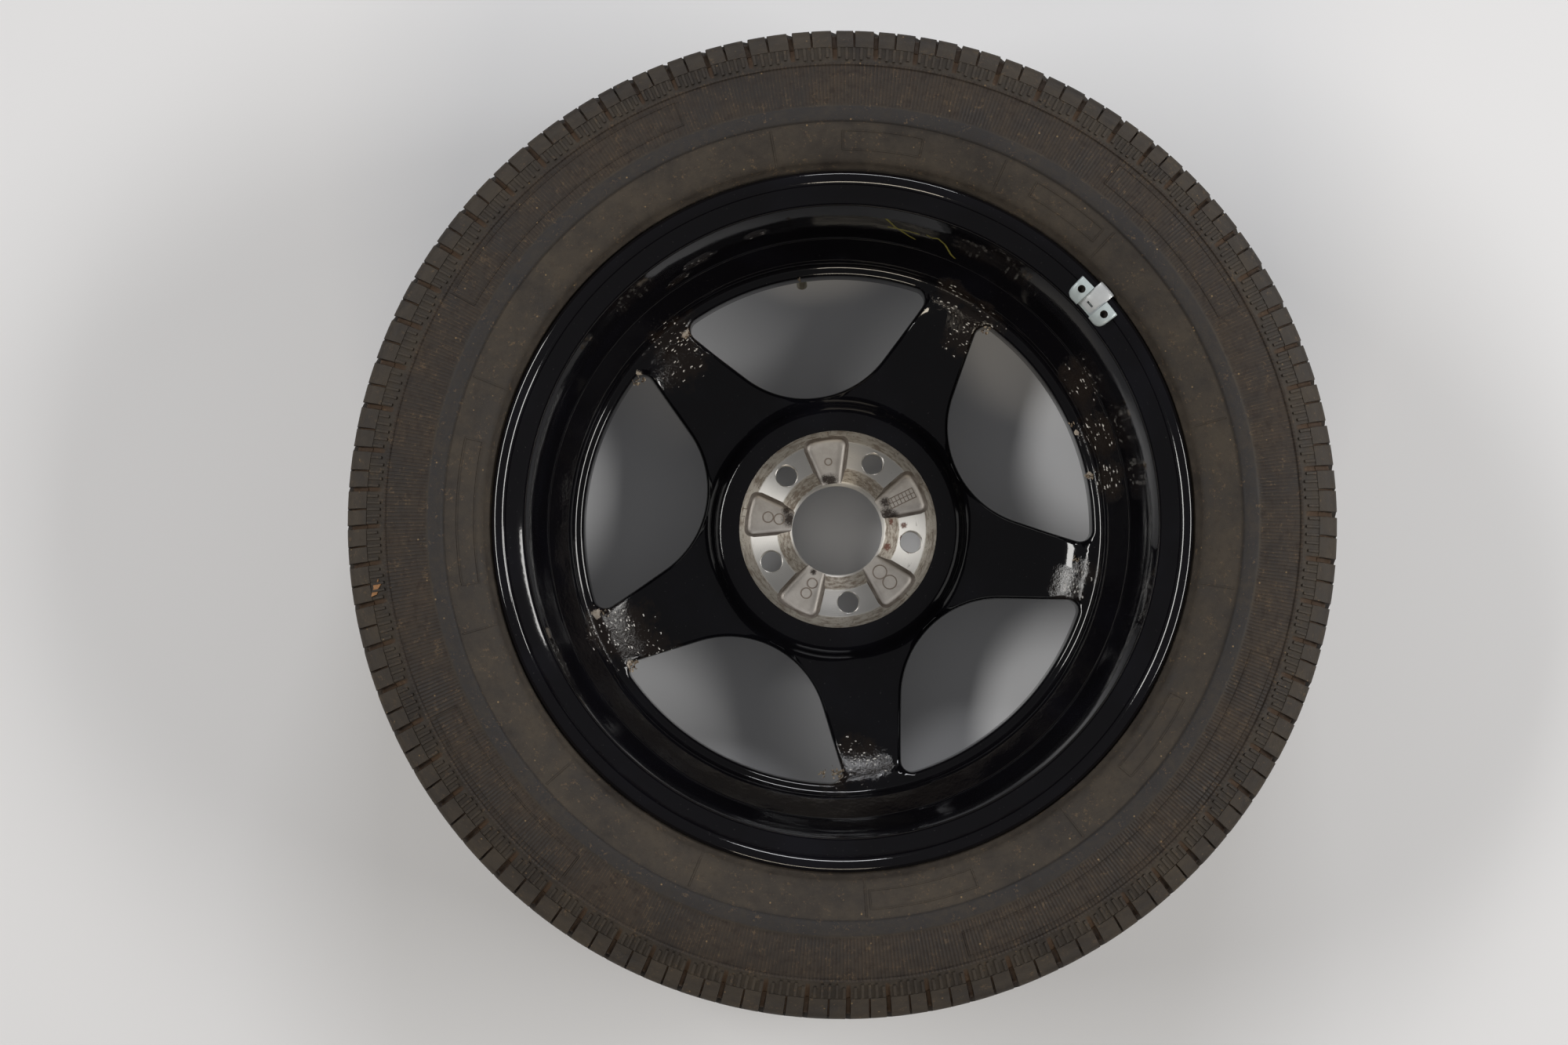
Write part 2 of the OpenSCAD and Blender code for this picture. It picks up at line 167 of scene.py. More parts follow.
def shell(bm, rows, material=0, closed=True):
    """Joins rows of points into quads; each row has as many points as the next."""
    made = [[bm.verts.new(p) for p in row] for row in rows]
    count = len(rows[0])
    for low, high in zip(made, made[1:]):
        for j in range(count if closed else count - 1):
            k = (j + 1) % count
            bm.faces.new((low[j], low[k], high[k], high[j])).material_index = material
    return made


def closed(bm, rows, material=0):
    """Joins rows of points as shell does and fills both ends."""
    made = shell(bm, rows, material)
    for end in (made[0], made[-1]):
        bm.faces.new(end).material_index = material


def circle(centre, radius, z, count=32):
    """Points around an upright axis through the centre."""
    turns = [2 * math.pi * j / count for j in range(count)]
    return [(centre.x + radius * math.cos(t), centre.y + radius * math.sin(t), z) for t in turns]


def turned(bm, outline, columns, material=0):
    """Turns an outline of (radius, height) once around the spin axis."""
    turns = [2 * math.pi * j / columns + math.radians(WINDOW_TURN) for j in range(columns)]
    rows = [[(p[0] * math.cos(t), p[0] * math.sin(t), p[1]) for t in turns] for p in outline]
    return shell(bm, rows, material)


def finish_mesh(bm, name, materials, sharp=32, merge=0.02 * MM):
    """Welds the mesh, turns its normals outwards, smooths all but its sharp edges and makes the object."""
    bmesh.ops.remove_doubles(bm, verts=bm.verts, dist=merge)
    bmesh.ops.dissolve_degenerate(bm, edges=bm.edges, dist=merge / 4)
    bmesh.ops.recalc_face_normals(bm, faces=bm.faces)
    mesh = bpy.data.meshes.new(name)
    bm.to_mesh(mesh)
    bm.free()
    mesh.shade_smooth()
    mesh.set_sharp_from_angle(angle=math.radians(sharp))
    for material in materials:
        mesh.materials.append(material)
    thing = bpy.data.objects.new(name, mesh)
    bpy.context.scene.collection.objects.link(thing)
    return thing


def cut(thing, cutters):
    """Cuts the cutters out of a mesh; the cut faces keep the cutters' material numbers."""
    for cutter in cutters:
        change = thing.modifiers.new("cut", "BOOLEAN")
        change.operation = "DIFFERENCE"
        change.solver = "MANIFOLD"
        change.object = cutter
    bpy.context.view_layer.update()
    graph = bpy.context.evaluated_depsgraph_get()
    result = bpy.data.meshes.new_from_object(thing.evaluated_get(graph))
    thing.modifiers.clear()
    thing.data = result
    for cutter in cutters:
        bpy.data.objects.remove(cutter)


def window_half(radius):
    """Upper half of a window's outline about +X, from its round hub end to its outer middle.

    Gives the places and the directions that point from them into the metal.
    """
    side = math.radians(44.8)
    hub_x = 170.3 * MM
    hub_r = 71.8 * MM
    corner = 8 * MM
    start = np.array((hub_x - hub_r * math.sin(side), hub_r * math.cos(side)))
    offset = start[0] * math.sin(side) - start[1] * math.cos(side)
    turn = side - math.asin((offset + corner) / (radius - corner))
    centre = (radius - corner) * np.array((math.cos(turn), math.sin(turn)))
    end = centre + corner * np.array((-math.sin(side), math.cos(side)))
    stretches = (
        ((hub_x, 0), hub_r, math.pi, math.pi / 2 + side),
        (None, 0, 0, 0),
        (centre, corner, math.pi / 2 + side, turn),
        ((0, 0), radius, turn, 0),
    )
    places = []
    normals = []
    for (middle, r, a, b), steps in zip(stretches, WINDOW_STEPS):
        for i in range(1 if places else 0, steps + 1):
            t = i / steps
            if middle is None:
                normals.append((-math.sin(side), math.cos(side)))
                places.append(start + (end - start) * t)
            else:
                out = (math.cos(a + (b - a) * t), math.sin(a + (b - a) * t))
                normals.append(out)
                places.append((middle[0] + r * out[0], middle[1] + r * out[1]))
    return np.array(places), np.array(normals)


def mirrored(half):
    """Closes a half outline with its mirror below the X axis."""
    return np.vstack([half, half[-2:0:-1] * np.array([1, -1])])


def sector_edge(inner, outer):
    """Border of one window's sector, point for point beside the window's outline."""
    hub, side, corner, rim = WINDOW_STEPS
    half = []
    for i in range(hub + side + corner + rim + 1):
        if i <= hub:
            r = inner
            t = i / hub
        elif i < hub + side:
            r = inner + (outer - inner) * (i - hub) / side
            t = 1
        else:
            r = outer
            t = 1 - (i - hub - side) / (corner + rim)
        half.append((r * math.cos(HALF_SECTOR * t), r * math.sin(HALF_SECTOR * t)))
    return mirrored(np.array(half))


def back_height(radius):
    """Height of the spoke backs: flat, then a cove that lifts them to the ledge."""
    run = np.clip(radius - COVE_START, 0, LEDGE_R - COVE_START)
    return BACK_Z + COVE_R - np.sqrt(COVE_R**2 - run**2)


def face_height(radius):
    """Height of the dished street side."""
    dish = FACE_Z + 120 * MM - np.sqrt(np.maximum((120 * MM) ** 2 - (radius - 150 * MM) ** 2, 0))
    return np.where(radius > 150 * MM, FACE_Z, np.minimum(dish, HUB_Z - 1 * MM))


def window_rows(edge):
    """Rows of points from the back of a sector, down the window's walls and out to the street side."""
    top, top_n = (mirrored(a) for a in window_half(185.1 * MM))
    low, low_n = (mirrored(a) for a in window_half(SEAT_R - 9 * MM))
    back_edge = sector_edge(BOSS_START + BOSS_RUN - 8 * MM, BARREL_R - 4.5 * MM)
    face_edge = sector_edge(62 * MM, SEAT_R - 1.3 * MM)
    rows = []

    def row(places, heights):
        rows.append(np.column_stack([places, np.broadcast_to(heights, len(places))]))

    rim = top + top_n * edge
    for t in (0, 0.25, 0.5, 0.7, 0.85, 1):
        places = back_edge * (1 - t) + rim * t
        radii = np.hypot(*places.T)
        row(places, np.maximum(back_height(radii), boss_height(radii)))
    radii = np.hypot(*top.T)
    lift = np.maximum(back_height(radii), boss_height(radii))
    for turn in (15, 30, 45, 60, 75, 90):
        t = math.radians(turn)
        row(top + top_n * edge * (1 - math.sin(t)), lift - edge * (1 - math.cos(t)))
    row(top, (lift - edge + RING_Z) / 2)
    row(top, RING_Z + 1.2 * MM)
    row(top * 0.96 + low * 0.04, RING_Z)
    row(top * 0.04 + low * 0.96, RING_Z)
    row(low, RING_Z - 1.2 * MM)
    drop = face_height(np.hypot(*low.T))
    row(low, drop + (RING_Z - drop) * 0.4)
    for turn in (0, 30, 60, 90):
        t = math.radians(turn)
        row(low + low_n * edge * (1 - math.cos(t)), drop + edge * (1 - math.sin(t)))
    rim = low + low_n * edge
    for t in (0.08, 0.2, 0.35, 0.5, 0.65, 0.8, 1):
        places = rim * (1 - t) + face_edge * t
        row(places, face_height(np.hypot(*places.T)))
    return rows


def spin(rows, turn):
    """Turns rows of points about the spin axis, by degrees."""
    c = math.cos(math.radians(turn))
    s = math.sin(math.radians(turn))
    return [[(x * c - y * s, x * s + y * c, z) for x, y, z in row] for row in rows]


def rim_outline():
    """Outline of the barrel, both flanges, seats and the drop well, from the ledge to the street side."""
    curl = FLANGE_CURL
    bead = 6.5 * MM
    foot = 4.5 * MM
    low = MID_Z - RIM_HALF
    high = MID_Z + RIM_HALF
    barrel = softened([(BARREL_R, LEDGE_Z + foot), *BARREL_LINE, LIP_TOP], 3 * MM, 5)
    crest = (arc(LIP_R - 4.5 * MM, IN_Z - 6 * MM, 6 * MM, 152, 90, 8)
             + arc(LIP_R - 4 * MM, IN_Z - 4 * MM, 4 * MM, 84, 25, 7))
    inside = arc(BARREL_R - foot, LEDGE_Z + foot, foot, 270, 354, 8) + barrel + crest
    outside = (
        arc(LIP_R - curl, high + curl, curl, -8, -90)
        + arc(SEAT_R + bead, high - bead, bead, 90, 180, 4)
        + [(SEAT_R - 1.4 * MM, high - 21 * MM), (SEAT_R - 0.4 * MM, high - 24 * MM),
           (SEAT_R - 1.9 * MM, high - 28 * MM), (SEAT_R - 5.6 * MM, WELL_TOP + 16 * MM),
           (WELL_R + 0.8 * MM, WELL_TOP + 1 * MM), (WELL_R, WELL_TOP - 1 * MM), (WELL_R, WELL_TOP - 18 * MM),
           (SEAT_R - 1.8 * MM, low + 23.9 * MM), (SEAT_R - 0.5 * MM, low + 21.3 * MM),
           (SEAT_R - 1.3 * MM, low + 18.7 * MM)]
        + arc(SEAT_R + bead, low + bead, bead, 180, 270, 4)
        + arc(LIP_R - curl, low - curl, curl, 90, 0)
    )
    street = softened(
        [(LIP_R, OUT_Z + 3 * MM), (LIP_R - 0.3 * MM, OUT_Z), (LIP_R - 5 * MM, OUT_Z),
         (LIP_R - 11 * MM, OUT_Z + 1.4 * MM), (SEAT_R - 0.6 * MM, FACE_Z - 1.2 * MM),
         (SEAT_R - 1.3 * MM, FACE_Z)], 1.5 * MM, 3)
    return inside + outside + street


def hub_outline():
    """Outline of the hub, from the street side through the bore and its lead-in cone to the pad."""
    return softened(
        [(62 * MM, float(face_height(62 * MM))), (58 * MM, HUB_Z), (BORE_R + 3.5 * MM, HUB_Z),
         (BORE_R + 3.5 * MM, HUB_Z + 2.5 * MM), (BORE_R, HUB_Z + 2.5 * MM), (BORE_R, PAD_Z - 6.5 * MM),
         (BORE_R + 0.95 * MM, PAD_Z - 5 * MM), (LEAD_R, PAD_Z)], 0.3 * MM, 2)


def pad_outline():
    """Outline of the machined pad: seat, cone step and the lower outer band with its broken edge."""
    low = PAD_Z - STEP_DEPTH
    return [(LEAD_R, PAD_Z), (LEAD_R + 0.6 * MM, PAD_Z), (PCD_R, PAD_Z), (STEP_R, PAD_Z),
            (STEP_R + 2.2 * MM, low), (STEP_R + 2.5 * MM, low), (PAD_R - 0.4 * MM, low),
            (PAD_R, low - 0.2 * MM)]


def boss_height(radius):
    """Height of the boss's shoulder: two equal arcs, down from the pad and out to the spoke backs."""
    top = PAD_Z - 0.6 * MM
    drop = top - BACK_Z
    turn = 2 * math.atan(drop / BOSS_RUN)
    curve = BOSS_RUN / 2 / math.sin(turn)
    run = np.clip(radius - BOSS_START, 0, BOSS_RUN)
    upper = top - curve + np.sqrt(np.maximum(curve**2 - run**2, 0))
    lower = BACK_Z + curve - np.sqrt(np.maximum(curve**2 - (BOSS_RUN - run) ** 2, 0))
    return np.where(run < BOSS_RUN / 2, upper, lower)


def shoulder_outline():
    """Outline of the painted boss around the pad, down towards the spoke backs."""
    low = PAD_Z - STEP_DEPTH
    end = BOSS_START + BOSS_RUN - 8 * MM
    radii = np.linspace(76 * MM, end, 22)
    return ([(PAD_R, low - 0.2 * MM), (PAD_R + 0.3 * MM, low - 0.5 * MM),
             (PAD_R + 1.5 * MM, PAD_Z - 0.7 * MM)]
            + [(float(r), float(boss_height(r))) for r in radii])


def pocket_outline():
    """Plan of one cast pocket about +X: round outer corners and straight sides towards the bore."""
    corner = 5 * MM
    half = math.radians(15)
    turn = half - math.asin(corner / (POCKET_R - corner))
    x = (POCKET_R - corner) * math.cos(turn)
    y = (POCKET_R - corner) * math.sin(turn)
    turns = np.linspace(half + math.pi / 2, turn, 9)
    rounded = [(x + corner * math.cos(t), y + corner * math.sin(t)) for t in turns]
    rim = [(POCKET_R * math.cos(t), POCKET_R * math.sin(t)) for t in np.linspace(turn, 0, 6)[1:]]
    side = [(r * math.cos(half), r * math.sin(half)) for r in (22 * MM, 34 * MM, 48 * MM)]
    half_line = np.array(side + rounded + rim)
    return np.vstack([half_line, half_line[-2::-1] * np.array([1, -1])])


def pocket_cutter(turn):
    """One cast pocket, open to the bore, with a drawn mouth and a round foot."""
    outline = pocket_outline()
    middle = np.array((52 * MM, 0))
    bm = bmesh.new()
    rows = []
    for inset, z in ((-0.05, 1.0), (-0.05, 0.02), (0.0, -0.5), (0.03, -1.3), (0.07, -3.2), (0.11, -4.6),
                     (0.17, -5.6), (0.26, -6.15), (0.34, -POCKET_DEPTH / MM)):
        places = outline + (middle - outline) * inset
        # the bore's end keeps its place, so that the pocket stays open
        places[:, 0] = np.where(outline[:, 0] < 30 * MM, outline[:, 0], places[:, 0])
        rows.append(np.column_stack([places, np.full(len(places), PAD_Z + z * MM)]))
    closed(bm, spin(rows, turn), 2)
    return finish_mesh(bm, "pocket_cutter", [])


def notch_cutter(turn):
    """The small notch in the middle of a pocket's outer wall."""
    bm = bmesh.new()
    rows = []
    for z, half, out in ((1, 3.2, 71.6), (-0.4, 3.2, 71.5), (-1.5, 2.6, 71.0)):
        corners = ((64, -half), (out, -half), (out, half), (64, half))
        rows.append([(x * MM, y * MM, PAD_Z + z * MM) for x, y in corners])
    closed(bm, spin(rows, turn), 1)
    return finish_mesh(bm, "notch_cutter", [])


def bolt_cutter(turn):
    """One bolt hole with its cone seat and its pocket in the street side."""
    hole = 7.75 * MM
    socket = 15 * MM
    outline = [(hole + 0.6 * MM, PAD_Z + 1 * MM), (hole + 0.6 * MM, PAD_Z), (hole, PAD_Z - 0.6 * MM),
               (hole, HUB_Z + 23 * MM), (hole + 5.7 * MM, HUB_Z + 13 * MM), (socket, HUB_Z + 12.9 * MM),
               (socket, HUB_Z - 8 * MM)]
    centre = polar(PCD_R, turn, 0)
    bm = bmesh.new()
    closed(bm, [circle(centre, r, z, 40) for r, z in outline], 1)
    return finish_mesh(bm, "bolt_cutter", [])


def make_wheel(edge, materials):
    """The one-piece casting with its windows, machined hub, bolt holes and cast pockets."""
    bm = bmesh.new()
    rows = window_rows(edge)
    for i in range(SPOKES):
        shell(bm, spin(rows, WINDOW_TURN + i * 360 / SPOKES))
    turned(bm, rim_outline(), 320)
    turned(bm, hub_outline(), 240, 1)
    turned(bm, pad_outline(), 240, 1)
    turned(bm, shoulder_outline(), 240)
    wheel = finish_mesh(bm, "cast_wheel", materials)
    cutters = []
    for i in range(SPOKES):
        turn = i * 360 / SPOKES
        cutters.append(pocket_cutter(WINDOW_TURN + turn))
        cutters.append(notch_cutter(WINDOW_TURN + turn))
        cutters.append(bolt_cutter(SPOKE_TURN + turn))
    cut(wheel, cutters)
    wheel.data.set_sharp_from_angle(angle=math.radians(32))
    return wheel


def make_pocket_rings(material):
    """Bare raised rings and one plain frame on the pockets' floors, where the mould had its inserts."""
    floor = PAD_Z - POCKET_DEPTH
    bm = bmesh.new()
    for radius, angle, size in (
        (43.5, 170, 3.8), (51.8, 170, 3.8), (43.6, 244.5, 3.6), (52, 243.5, 3.8),
        (43.7, 314.5, 5.0), (54, 314.5, 5.0), (50, 98, 2.5),
    ):
        centre = polar(radius * MM, angle, floor)
        rows = []
        for across, lift in ((-0.45, -0.1), (-0.25, 0.4), (0.25, 0.4), (0.45, -0.1)):
            rows.append(circle(centre, (size + across) * MM, floor + lift * MM))
        shell(bm, rows + rows[:1])
    bars = [(52, 3.6, 20, 0.6), (52, -3.6, 20, 0.6), (52, 0, 20, 0.5)]
    bars += [(42 + 20 * i / 7, 0, 0.5, 7.7) for i in range(8)]
    for along, across, length, width in bars:
        rows = []
        for z, inset in ((-0.1, 0), (0.4, 0.1)):
            half_l = length / 2 - inset
            half_w = width / 2 - inset
            corners = ((-half_l, -half_w), (half_l, -half_w), (half_l, half_w), (-half_l, half_w))
            rows.append([((along + x) * MM, (across + y) * MM, floor + z * MM) for x, y in corners])
        closed(bm, spin(rows, WINDOW_TURN))
    return finish_mesh(bm, "pocket_mould_marks", [material], sharp=40, merge=0.001 * MM)


PITCHES = 72
TREAD_HALF = 90 * MM
CROWN_DROP = 7.7 * MM
# Columns of one pitch of the tread: a slot, then a thin cut midway, each with steep sides
PITCH_COLUMNS = (0.0, 0.02, 0.11, 0.13, 0.35, 0.565, 0.58, 0.605, 0.62)
IN_SLOT = (0, 1, 1, 0, 0, 0, 0, 0, 0)
IN_SIPE = (0, 0, 0, 0, 0, 0, 1, 1, 0)
# How far the shoulder slots turn about the axis for each metre away from the tread's middle
SLOT_LEAN = 1.25
LEAN_END = 76 * MM
# Edges of the sidewall's bands, from the bead to the shoulder
RIB_LOW = 265.6 * MM
RIB_HIGH = 276.4 * MM
BAND_HIGH = 305.6 * MM


def tread_radius(offset):
    """Radius of the tread at a distance from its middle."""
    u = abs(offset) / TREAD_HALF
    return TYRE_R - CROWN_DROP * (0.6 * u * u + 0.25 * u**8)


def tyre_rows():
    """Rows of the tyre's outer half from the middle of the tread to the bead.

    Each row is (radius, distance from the middle, depth of slots, depth of thin cuts).
    """
    rows = []
    grooves = (18 * MM, 52.2 * MM)
    half = 4.25 * MM
    wall = 0.25 * MM
    places = [0, 7 * MM]
    for groove in grooves:
        places += [groove - half, groove - half + wall, groove + half - wall, groove + half]
    places += [30 * MM, 40 * MM, 62 * MM, 70 * MM, 78 * MM, 84 * MM]
    for x in sorted(places):
        sunk = any(abs(x - g) < half - wall / 2 for g in grooves)
        slot = 0 if sunk else (4.6 * MM if x > 56 * MM else 4 * MM)
        rows.append((tread_radius(x) - (6.5 * MM if sunk else 0), x, slot, slot * 0.7))
    shoulder = TYRE_R - CROWN_DROP
    for x, z in arc(shoulder - 4.2 * MM, TREAD_HALF - 4 * MM, 6.4 * MM, 22, 66, 4):
        rows.append((x, z, 4.2 * MM, 3 * MM))
    # radius, gap to the widest plane, slot and thin cut, all in mm
    for r, gap, slot, thin in (
        (325, 16.8, 3.6, 2.2), (322, 14.6, 3.2, 1.8), (319.4, 12.75, 2.6, 1.2), (318.8, 12.5, 1.2, 0),
        (318.4, 12.9, 1.1, 0), (316, 11.2, 1.0, 0), (313, 9.2, 0.9, 0), (310, 7.4, 0.7, 0),
        (307.4, 6.0, 0, 0), (306.6, 5.1, 0, 0), (305.2, 5.0, 0, 0), (304.6, 6.0, 0, 0),
        (300, 4.3, 0, 0), (295, 2.9, 0, 0),
        (290, 1.9, 0, 0), (285, 1.2, 0, 0), (280, 0.9, 0, 0), (276.8, 0.8, 0, 0), (276.0, 0.15, 0, 0),
        (275, 0, 0, 0), (270.5, 0, 0, 0), (267.3, 0.1, 0, 0), (266.2, 0.8, 0, 0), (265.6, 2.0, 0, 0),
        (262, 2.7, 0, 0), (258, 4.0, 0, 0), (254, 5.4, 0, 0), (250, 7.0, 0, 0), (246, 8.8, 0, 0),
        (243, 10.6, 0, 0), (241, 12.2, 0, 0), (240.2, 13.4, 0, 0), (239.5, 15.2, 0, 0), (238.4, 17.0, 0, 0),
    ):
        rows.append((r * MM, SECTION_HALF - gap * MM, slot * MM, thin * MM))
    flange = 98.4 * MM
    for x, z in arc(LIP_R - FLANGE_CURL, flange, 9.9 * MM, -20, -90, 4):
        rows.append((x, z, 0, 0))
    for x, z in arc(SEAT_R + 6.7 * MM, 82.2 * MM, 6.5 * MM, 90, 180, 4):
        rows.append((x, z, 0, 0))
    rows += [(SEAT_R + 0.5 * MM, 72 * MM, 0, 0), (SEAT_R + 3 * MM, 70 * MM, 0, 0)]
    return rows


def inner_rows():
    """Rows of the air side, from the inboard bead back to the middle of the tread."""
    w = SECTION_HALF
    return [(230 * MM, 79 * MM), (245 * MM, 96 * MM), (262 * MM, w - 11 * MM), (282 * MM, w - 8.5 * MM),
            (300 * MM, w - 12 * MM), (314 * MM, w - 20 * MM), (322 * MM, 80 * MM),
            (TYRE_R - 12 * MM, 45 * MM), (TYRE_R - 12 * MM, 0)]


def pitch_turn(turn):
    """Shifts an angle a little, because a tread's pitches differ in length around the tyre."""
    return turn + 0.010 * np.sin(turn * 5) + 0.006 * np.sin(turn * 11 + 1)


def make_tyre(material):
    """The tyre as one closed mesh: slotted shoulder blocks, tread ribs, banded sidewalls and beads."""
    outer = tyre_rows()
    rows = list(reversed(outer)) + [(r, -z, slot, thin) for r, z, slot, thin in outer[1:]]
    air = inner_rows()
    rows += [(r, -z, 0, 0) for r, z in air] + [(r, z, 0, 0) for r, z in air[-2::-1]]
    base = np.array([(p + f) * 2 * math.pi / PITCHES for p in range(PITCHES) for f in PITCH_COLUMNS])
    in_slot = np.tile(np.array(IN_SLOT, float), PITCHES)
    in_sipe = np.tile(np.array(IN_SIPE, float), PITCHES)
    count = len(base)
    base = pitch_turn(base)
    bm = bmesh.new()
    recess = bm.verts.layers.float.new("recess")
    made = []
    for r, z, slot, thin in rows:
        turns = base + SLOT_LEAN * max(-LEAN_END, min(LEAN_END, z))
        sink = in_slot * slot + in_sipe * thin
        # on the shoulder the cuts go down as well as in
        down = 0.0 if abs(z) < TREAD_HALF - 2 * MM else 0.75
        line = []
        for t, d in zip(turns, sink):
            reach = r - d * math.sqrt(1 - down * down)
            drop = math.copysign(d * down, z)
            line.append(bm.verts.new((reach * math.cos(t), reach * math.sin(t), MID_Z + z - drop)))
            line[-1][recess] = min(1.0, d / MM)
        made.append(line)
    for low, high in zip(made, made[1:] + made[:1]):
        for j in range(count):
            k = (j + 1) % count
            bm.faces.new((low[j], low[k], high[k], high[j]))
    return finish_mesh(bm, "tyre_rubber", [material], sharp=38, merge=0.005 * MM)


def sidewall_height(radius):
    """Distance of the inboard sidewall's surface from the tyre's middle, at a radius."""
    rows = [(r, z) for r, z, *_ in tyre_rows() if 239 * MM < r < 326 * MM and z > 98 * MM]
    rows.sort()
    return float(np.interp(radius, [r for r, _ in rows], [z for _, z in rows]))


def ridge(bm, path, width, rise):
    """A low moulded ridge along a path of (radius, angle in degrees) on the inboard sidewall."""
    rows = []
    places = [polar(r, a, 0) for r, a in path]
    for i in range(len(path)):
        ahead = places[min(i + 1, len(path) - 1)] - places[max(i - 1, 0)]
        side = Vector((-ahead.y, ahead.x, 0)).normalized()
        row = []
        for across, lift in ((-0.5, -0.25 * MM), (-0.3, rise), (0.3, rise), (0.5, -0.25 * MM)):
            p = places[i] + side * width * across
            row.append((p.x, p.y, MID_Z + sidewall_height(math.hypot(p.x, p.y)) + lift))
        rows.append(row)
    closed(bm, rows)


def make_shoulder_lugs(material):
    """Short radial lugs moulded in groups between the serrated band and the shoulder blocks."""
    bm = bmesh.new()
    step = 2 * math.pi / PITCHES
    for pitch in range(PITCHES):
        for share in (0.24, 0.42, 0.60, 0.78, 0.96):
            turn = math.degrees(float(pitch_turn((pitch + share) * step)) + SLOT_LEAN * LEAN_END)
            inner = 310.5 * MM if share in (0.24, 0.96) else 308.6 * MM
            ridge(bm, [(inner + (318.2 * MM - inner) * i / 2, turn) for i in range(3)], 2.4 * MM, 1.3 * MM)
    return finish_mesh(bm, "shoulder_lugs", [material], sharp=50, merge=0.001 * MM)


def frame_path(inner, outer, start, end):
    """A closed frame between two radii and two angles, as four ridge paths."""
    steps = max(3, int(abs(end - start) * 1.2))
    turns = [start + (end - start) * i / steps for i in range(steps + 1)]
    radii = [inner + (outer - inner) * i / 4 for i in range(5)]
    return ([(inner, a) for a in turns], [(outer, a) for a in turns],
            [(r, start) for r in radii], [(r, end) for r in radii])


def make_sidewall_marks(material):
    """Raised mould lines and plain frames on the inboard sidewall."""
    bm = bmesh.new()
    for angle in (14.7, 46.5, 65.4, 100.6, 159, 197, 221.9, 247.2, 273.3, 306.9, 349.7):
        ridge(bm, [(r * MM, angle) for r in (240.8, 246, 252, 258, 263.5)], 1.0 * MM, 0.6 * MM)
    # bare frames: inner and outer radius in mm, first and last angle
    for inner, outer, start, end in (
        (246, 257, 168, 190), (247, 259, 274, 290), (248, 260, 78, 90), (250, 260, 48, 60),
        (246, 256, 318, 332),
        (284, 301, 112, 150), (284, 301, 28, 52), (284, 301, 206, 232), (284, 301, 286, 342),
    ):
        for path in frame_path(inner * MM, outer * MM, start, end):
            ridge(bm, path, 1.0 * MM, 0.5 * MM)
    return finish_mesh(bm, "sidewall_mould_lines", [material], sharp=50, merge=0.001 * MM)


def barrel_radius(z):
    """Radius of the barrel's inside at a height, above its narrow foot."""
    radii, heights = zip(*BARREL_LINE)
    return float(np.interp(z, heights, radii))


def make_crayon_strokes(material):
    """Loose strokes of wax crayon on the barrel over the top window, each a thin film with ragged sides."""
    rough = np.random.default_rng(5)
    bm = bmesh.new()
    # each stroke is a run of (angle, height in mm)
    for stroke in (
        ((81.5, 172), (79.6, 152), (76.6, 134), (75.2, 128)), ((80.9, 148), (77.6, 147), (74.6, 146)),
        ((73.3, 150), (72.2, 146), (71.0, 150), (69.4, 140), (67.6, 118), (66.6, 112)),
    ):
        rows = []
        points = [Vector(p) for p in stroke]
        for a, b in zip(points, points[1:]):
            for i in range(6):
                angle, height = a.lerp(b, i / 5)
                run = Vector(((b.x - a.x) * 3.65, b.y - a.y)).normalized()
                half = 0.55 + 0.35 * rough.random()
                row = []
                for across in (-half, half):
                    z = (height + run.x * across) * MM
                    turn = angle - run.y * across / 3.65
                    for film in (0.0, 0.12 * MM):
                        row.append(polar(barrel_radius(z) - 0.02 * MM - film, turn, z))
                rows.append([row[0], row[1], row[3], row[2]])
        closed(bm, rows)
    return finish_mesh(bm, "crayon_strokes", [material], sharp=60, merge=0.0005 * MM)


def make_leaf(material):
    """A dry scrap of leaf that sticks to the shoulder on the left."""
    bm = bmesh.new()
    outline = ((-6, 0), (-3, 1.8), (0, 2.6), (1, 4.6), (3, 2.4), (7, 3.4), (5, 0.8), (6, -1.6), (2, -1.8),
               (-2, -3.4))
    centre = Vector((-311.5, -47.5))
    rows = []
    for lift, size in ((0.1, 0.8), (0.5, 1.0), (0.9, 0.9)):
        row = []
        for x, y in outline:
            p = (centre + Vector((x * 0.55 - y * 0.6, x * 0.8 + y * 0.5)) * size) * MM
            row.append((p.x, p.y, MID_Z + sidewall_height(p.length) + lift * MM))
        rows.append(row)
    closed(bm, rows)
    return finish_mesh(bm, "dry_leaf_scrap", [material], sharp=40, merge=0.001 * MM)


def make_flakes(material):
    """Flakes of lifted enamel and white corrosion that hang on the windows' outer corners and the barrel."""
    rough = np.random.default_rng(11)
    bm = bmesh.new()
    # radius, angle, height and reach of each crust in mm and degrees, and half its number of flakes
    for radius, angle, z, reach, count in (
        (181, 53.5, 73.5, 5, 10), (180, 128.5, 73, 5, 12), (182, 143.5, 74, 4, 9), (184, 199.5, 74.5, 5, 12),
        (180, 213.5, 73, 6, 16), (178, 269.5, 72.5, 5, 10), (177.5, 266.5, 72, 3, 6),
        (184.5, 98.8, 76, 1.2, 3), (186.5, 12, 76.2, 3, 4), (187, 24, 76.2, 2.5, 3), (176, 352.5, 70.5, 4, 5),
    ):
        for _ in range(count * 2):
            away = rough.normal(0, 0.5, 2) * reach * MM
            size = rough.uniform(0.4, 1.2) * MM
            at = polar(radius * MM, angle, z * MM) + Vector((away[0], away[1], 0))
            made = bmesh.ops.create_icosphere(bm, subdivisions=2, radius=size)["verts"]
            turn = Euler(tuple(rough.uniform(0, math.pi, 3))).to_matrix()
            for v in made:
                v.co *= 1 + rough.normal(0, 0.2)
                v.co = turn @ Vector((v.co.x * 1.5, v.co.y, v.co.z * 0.35)) + at
    return finish_mesh(bm, "enamel_flakes", [material], sharp=35, merge=0.001 * MM)


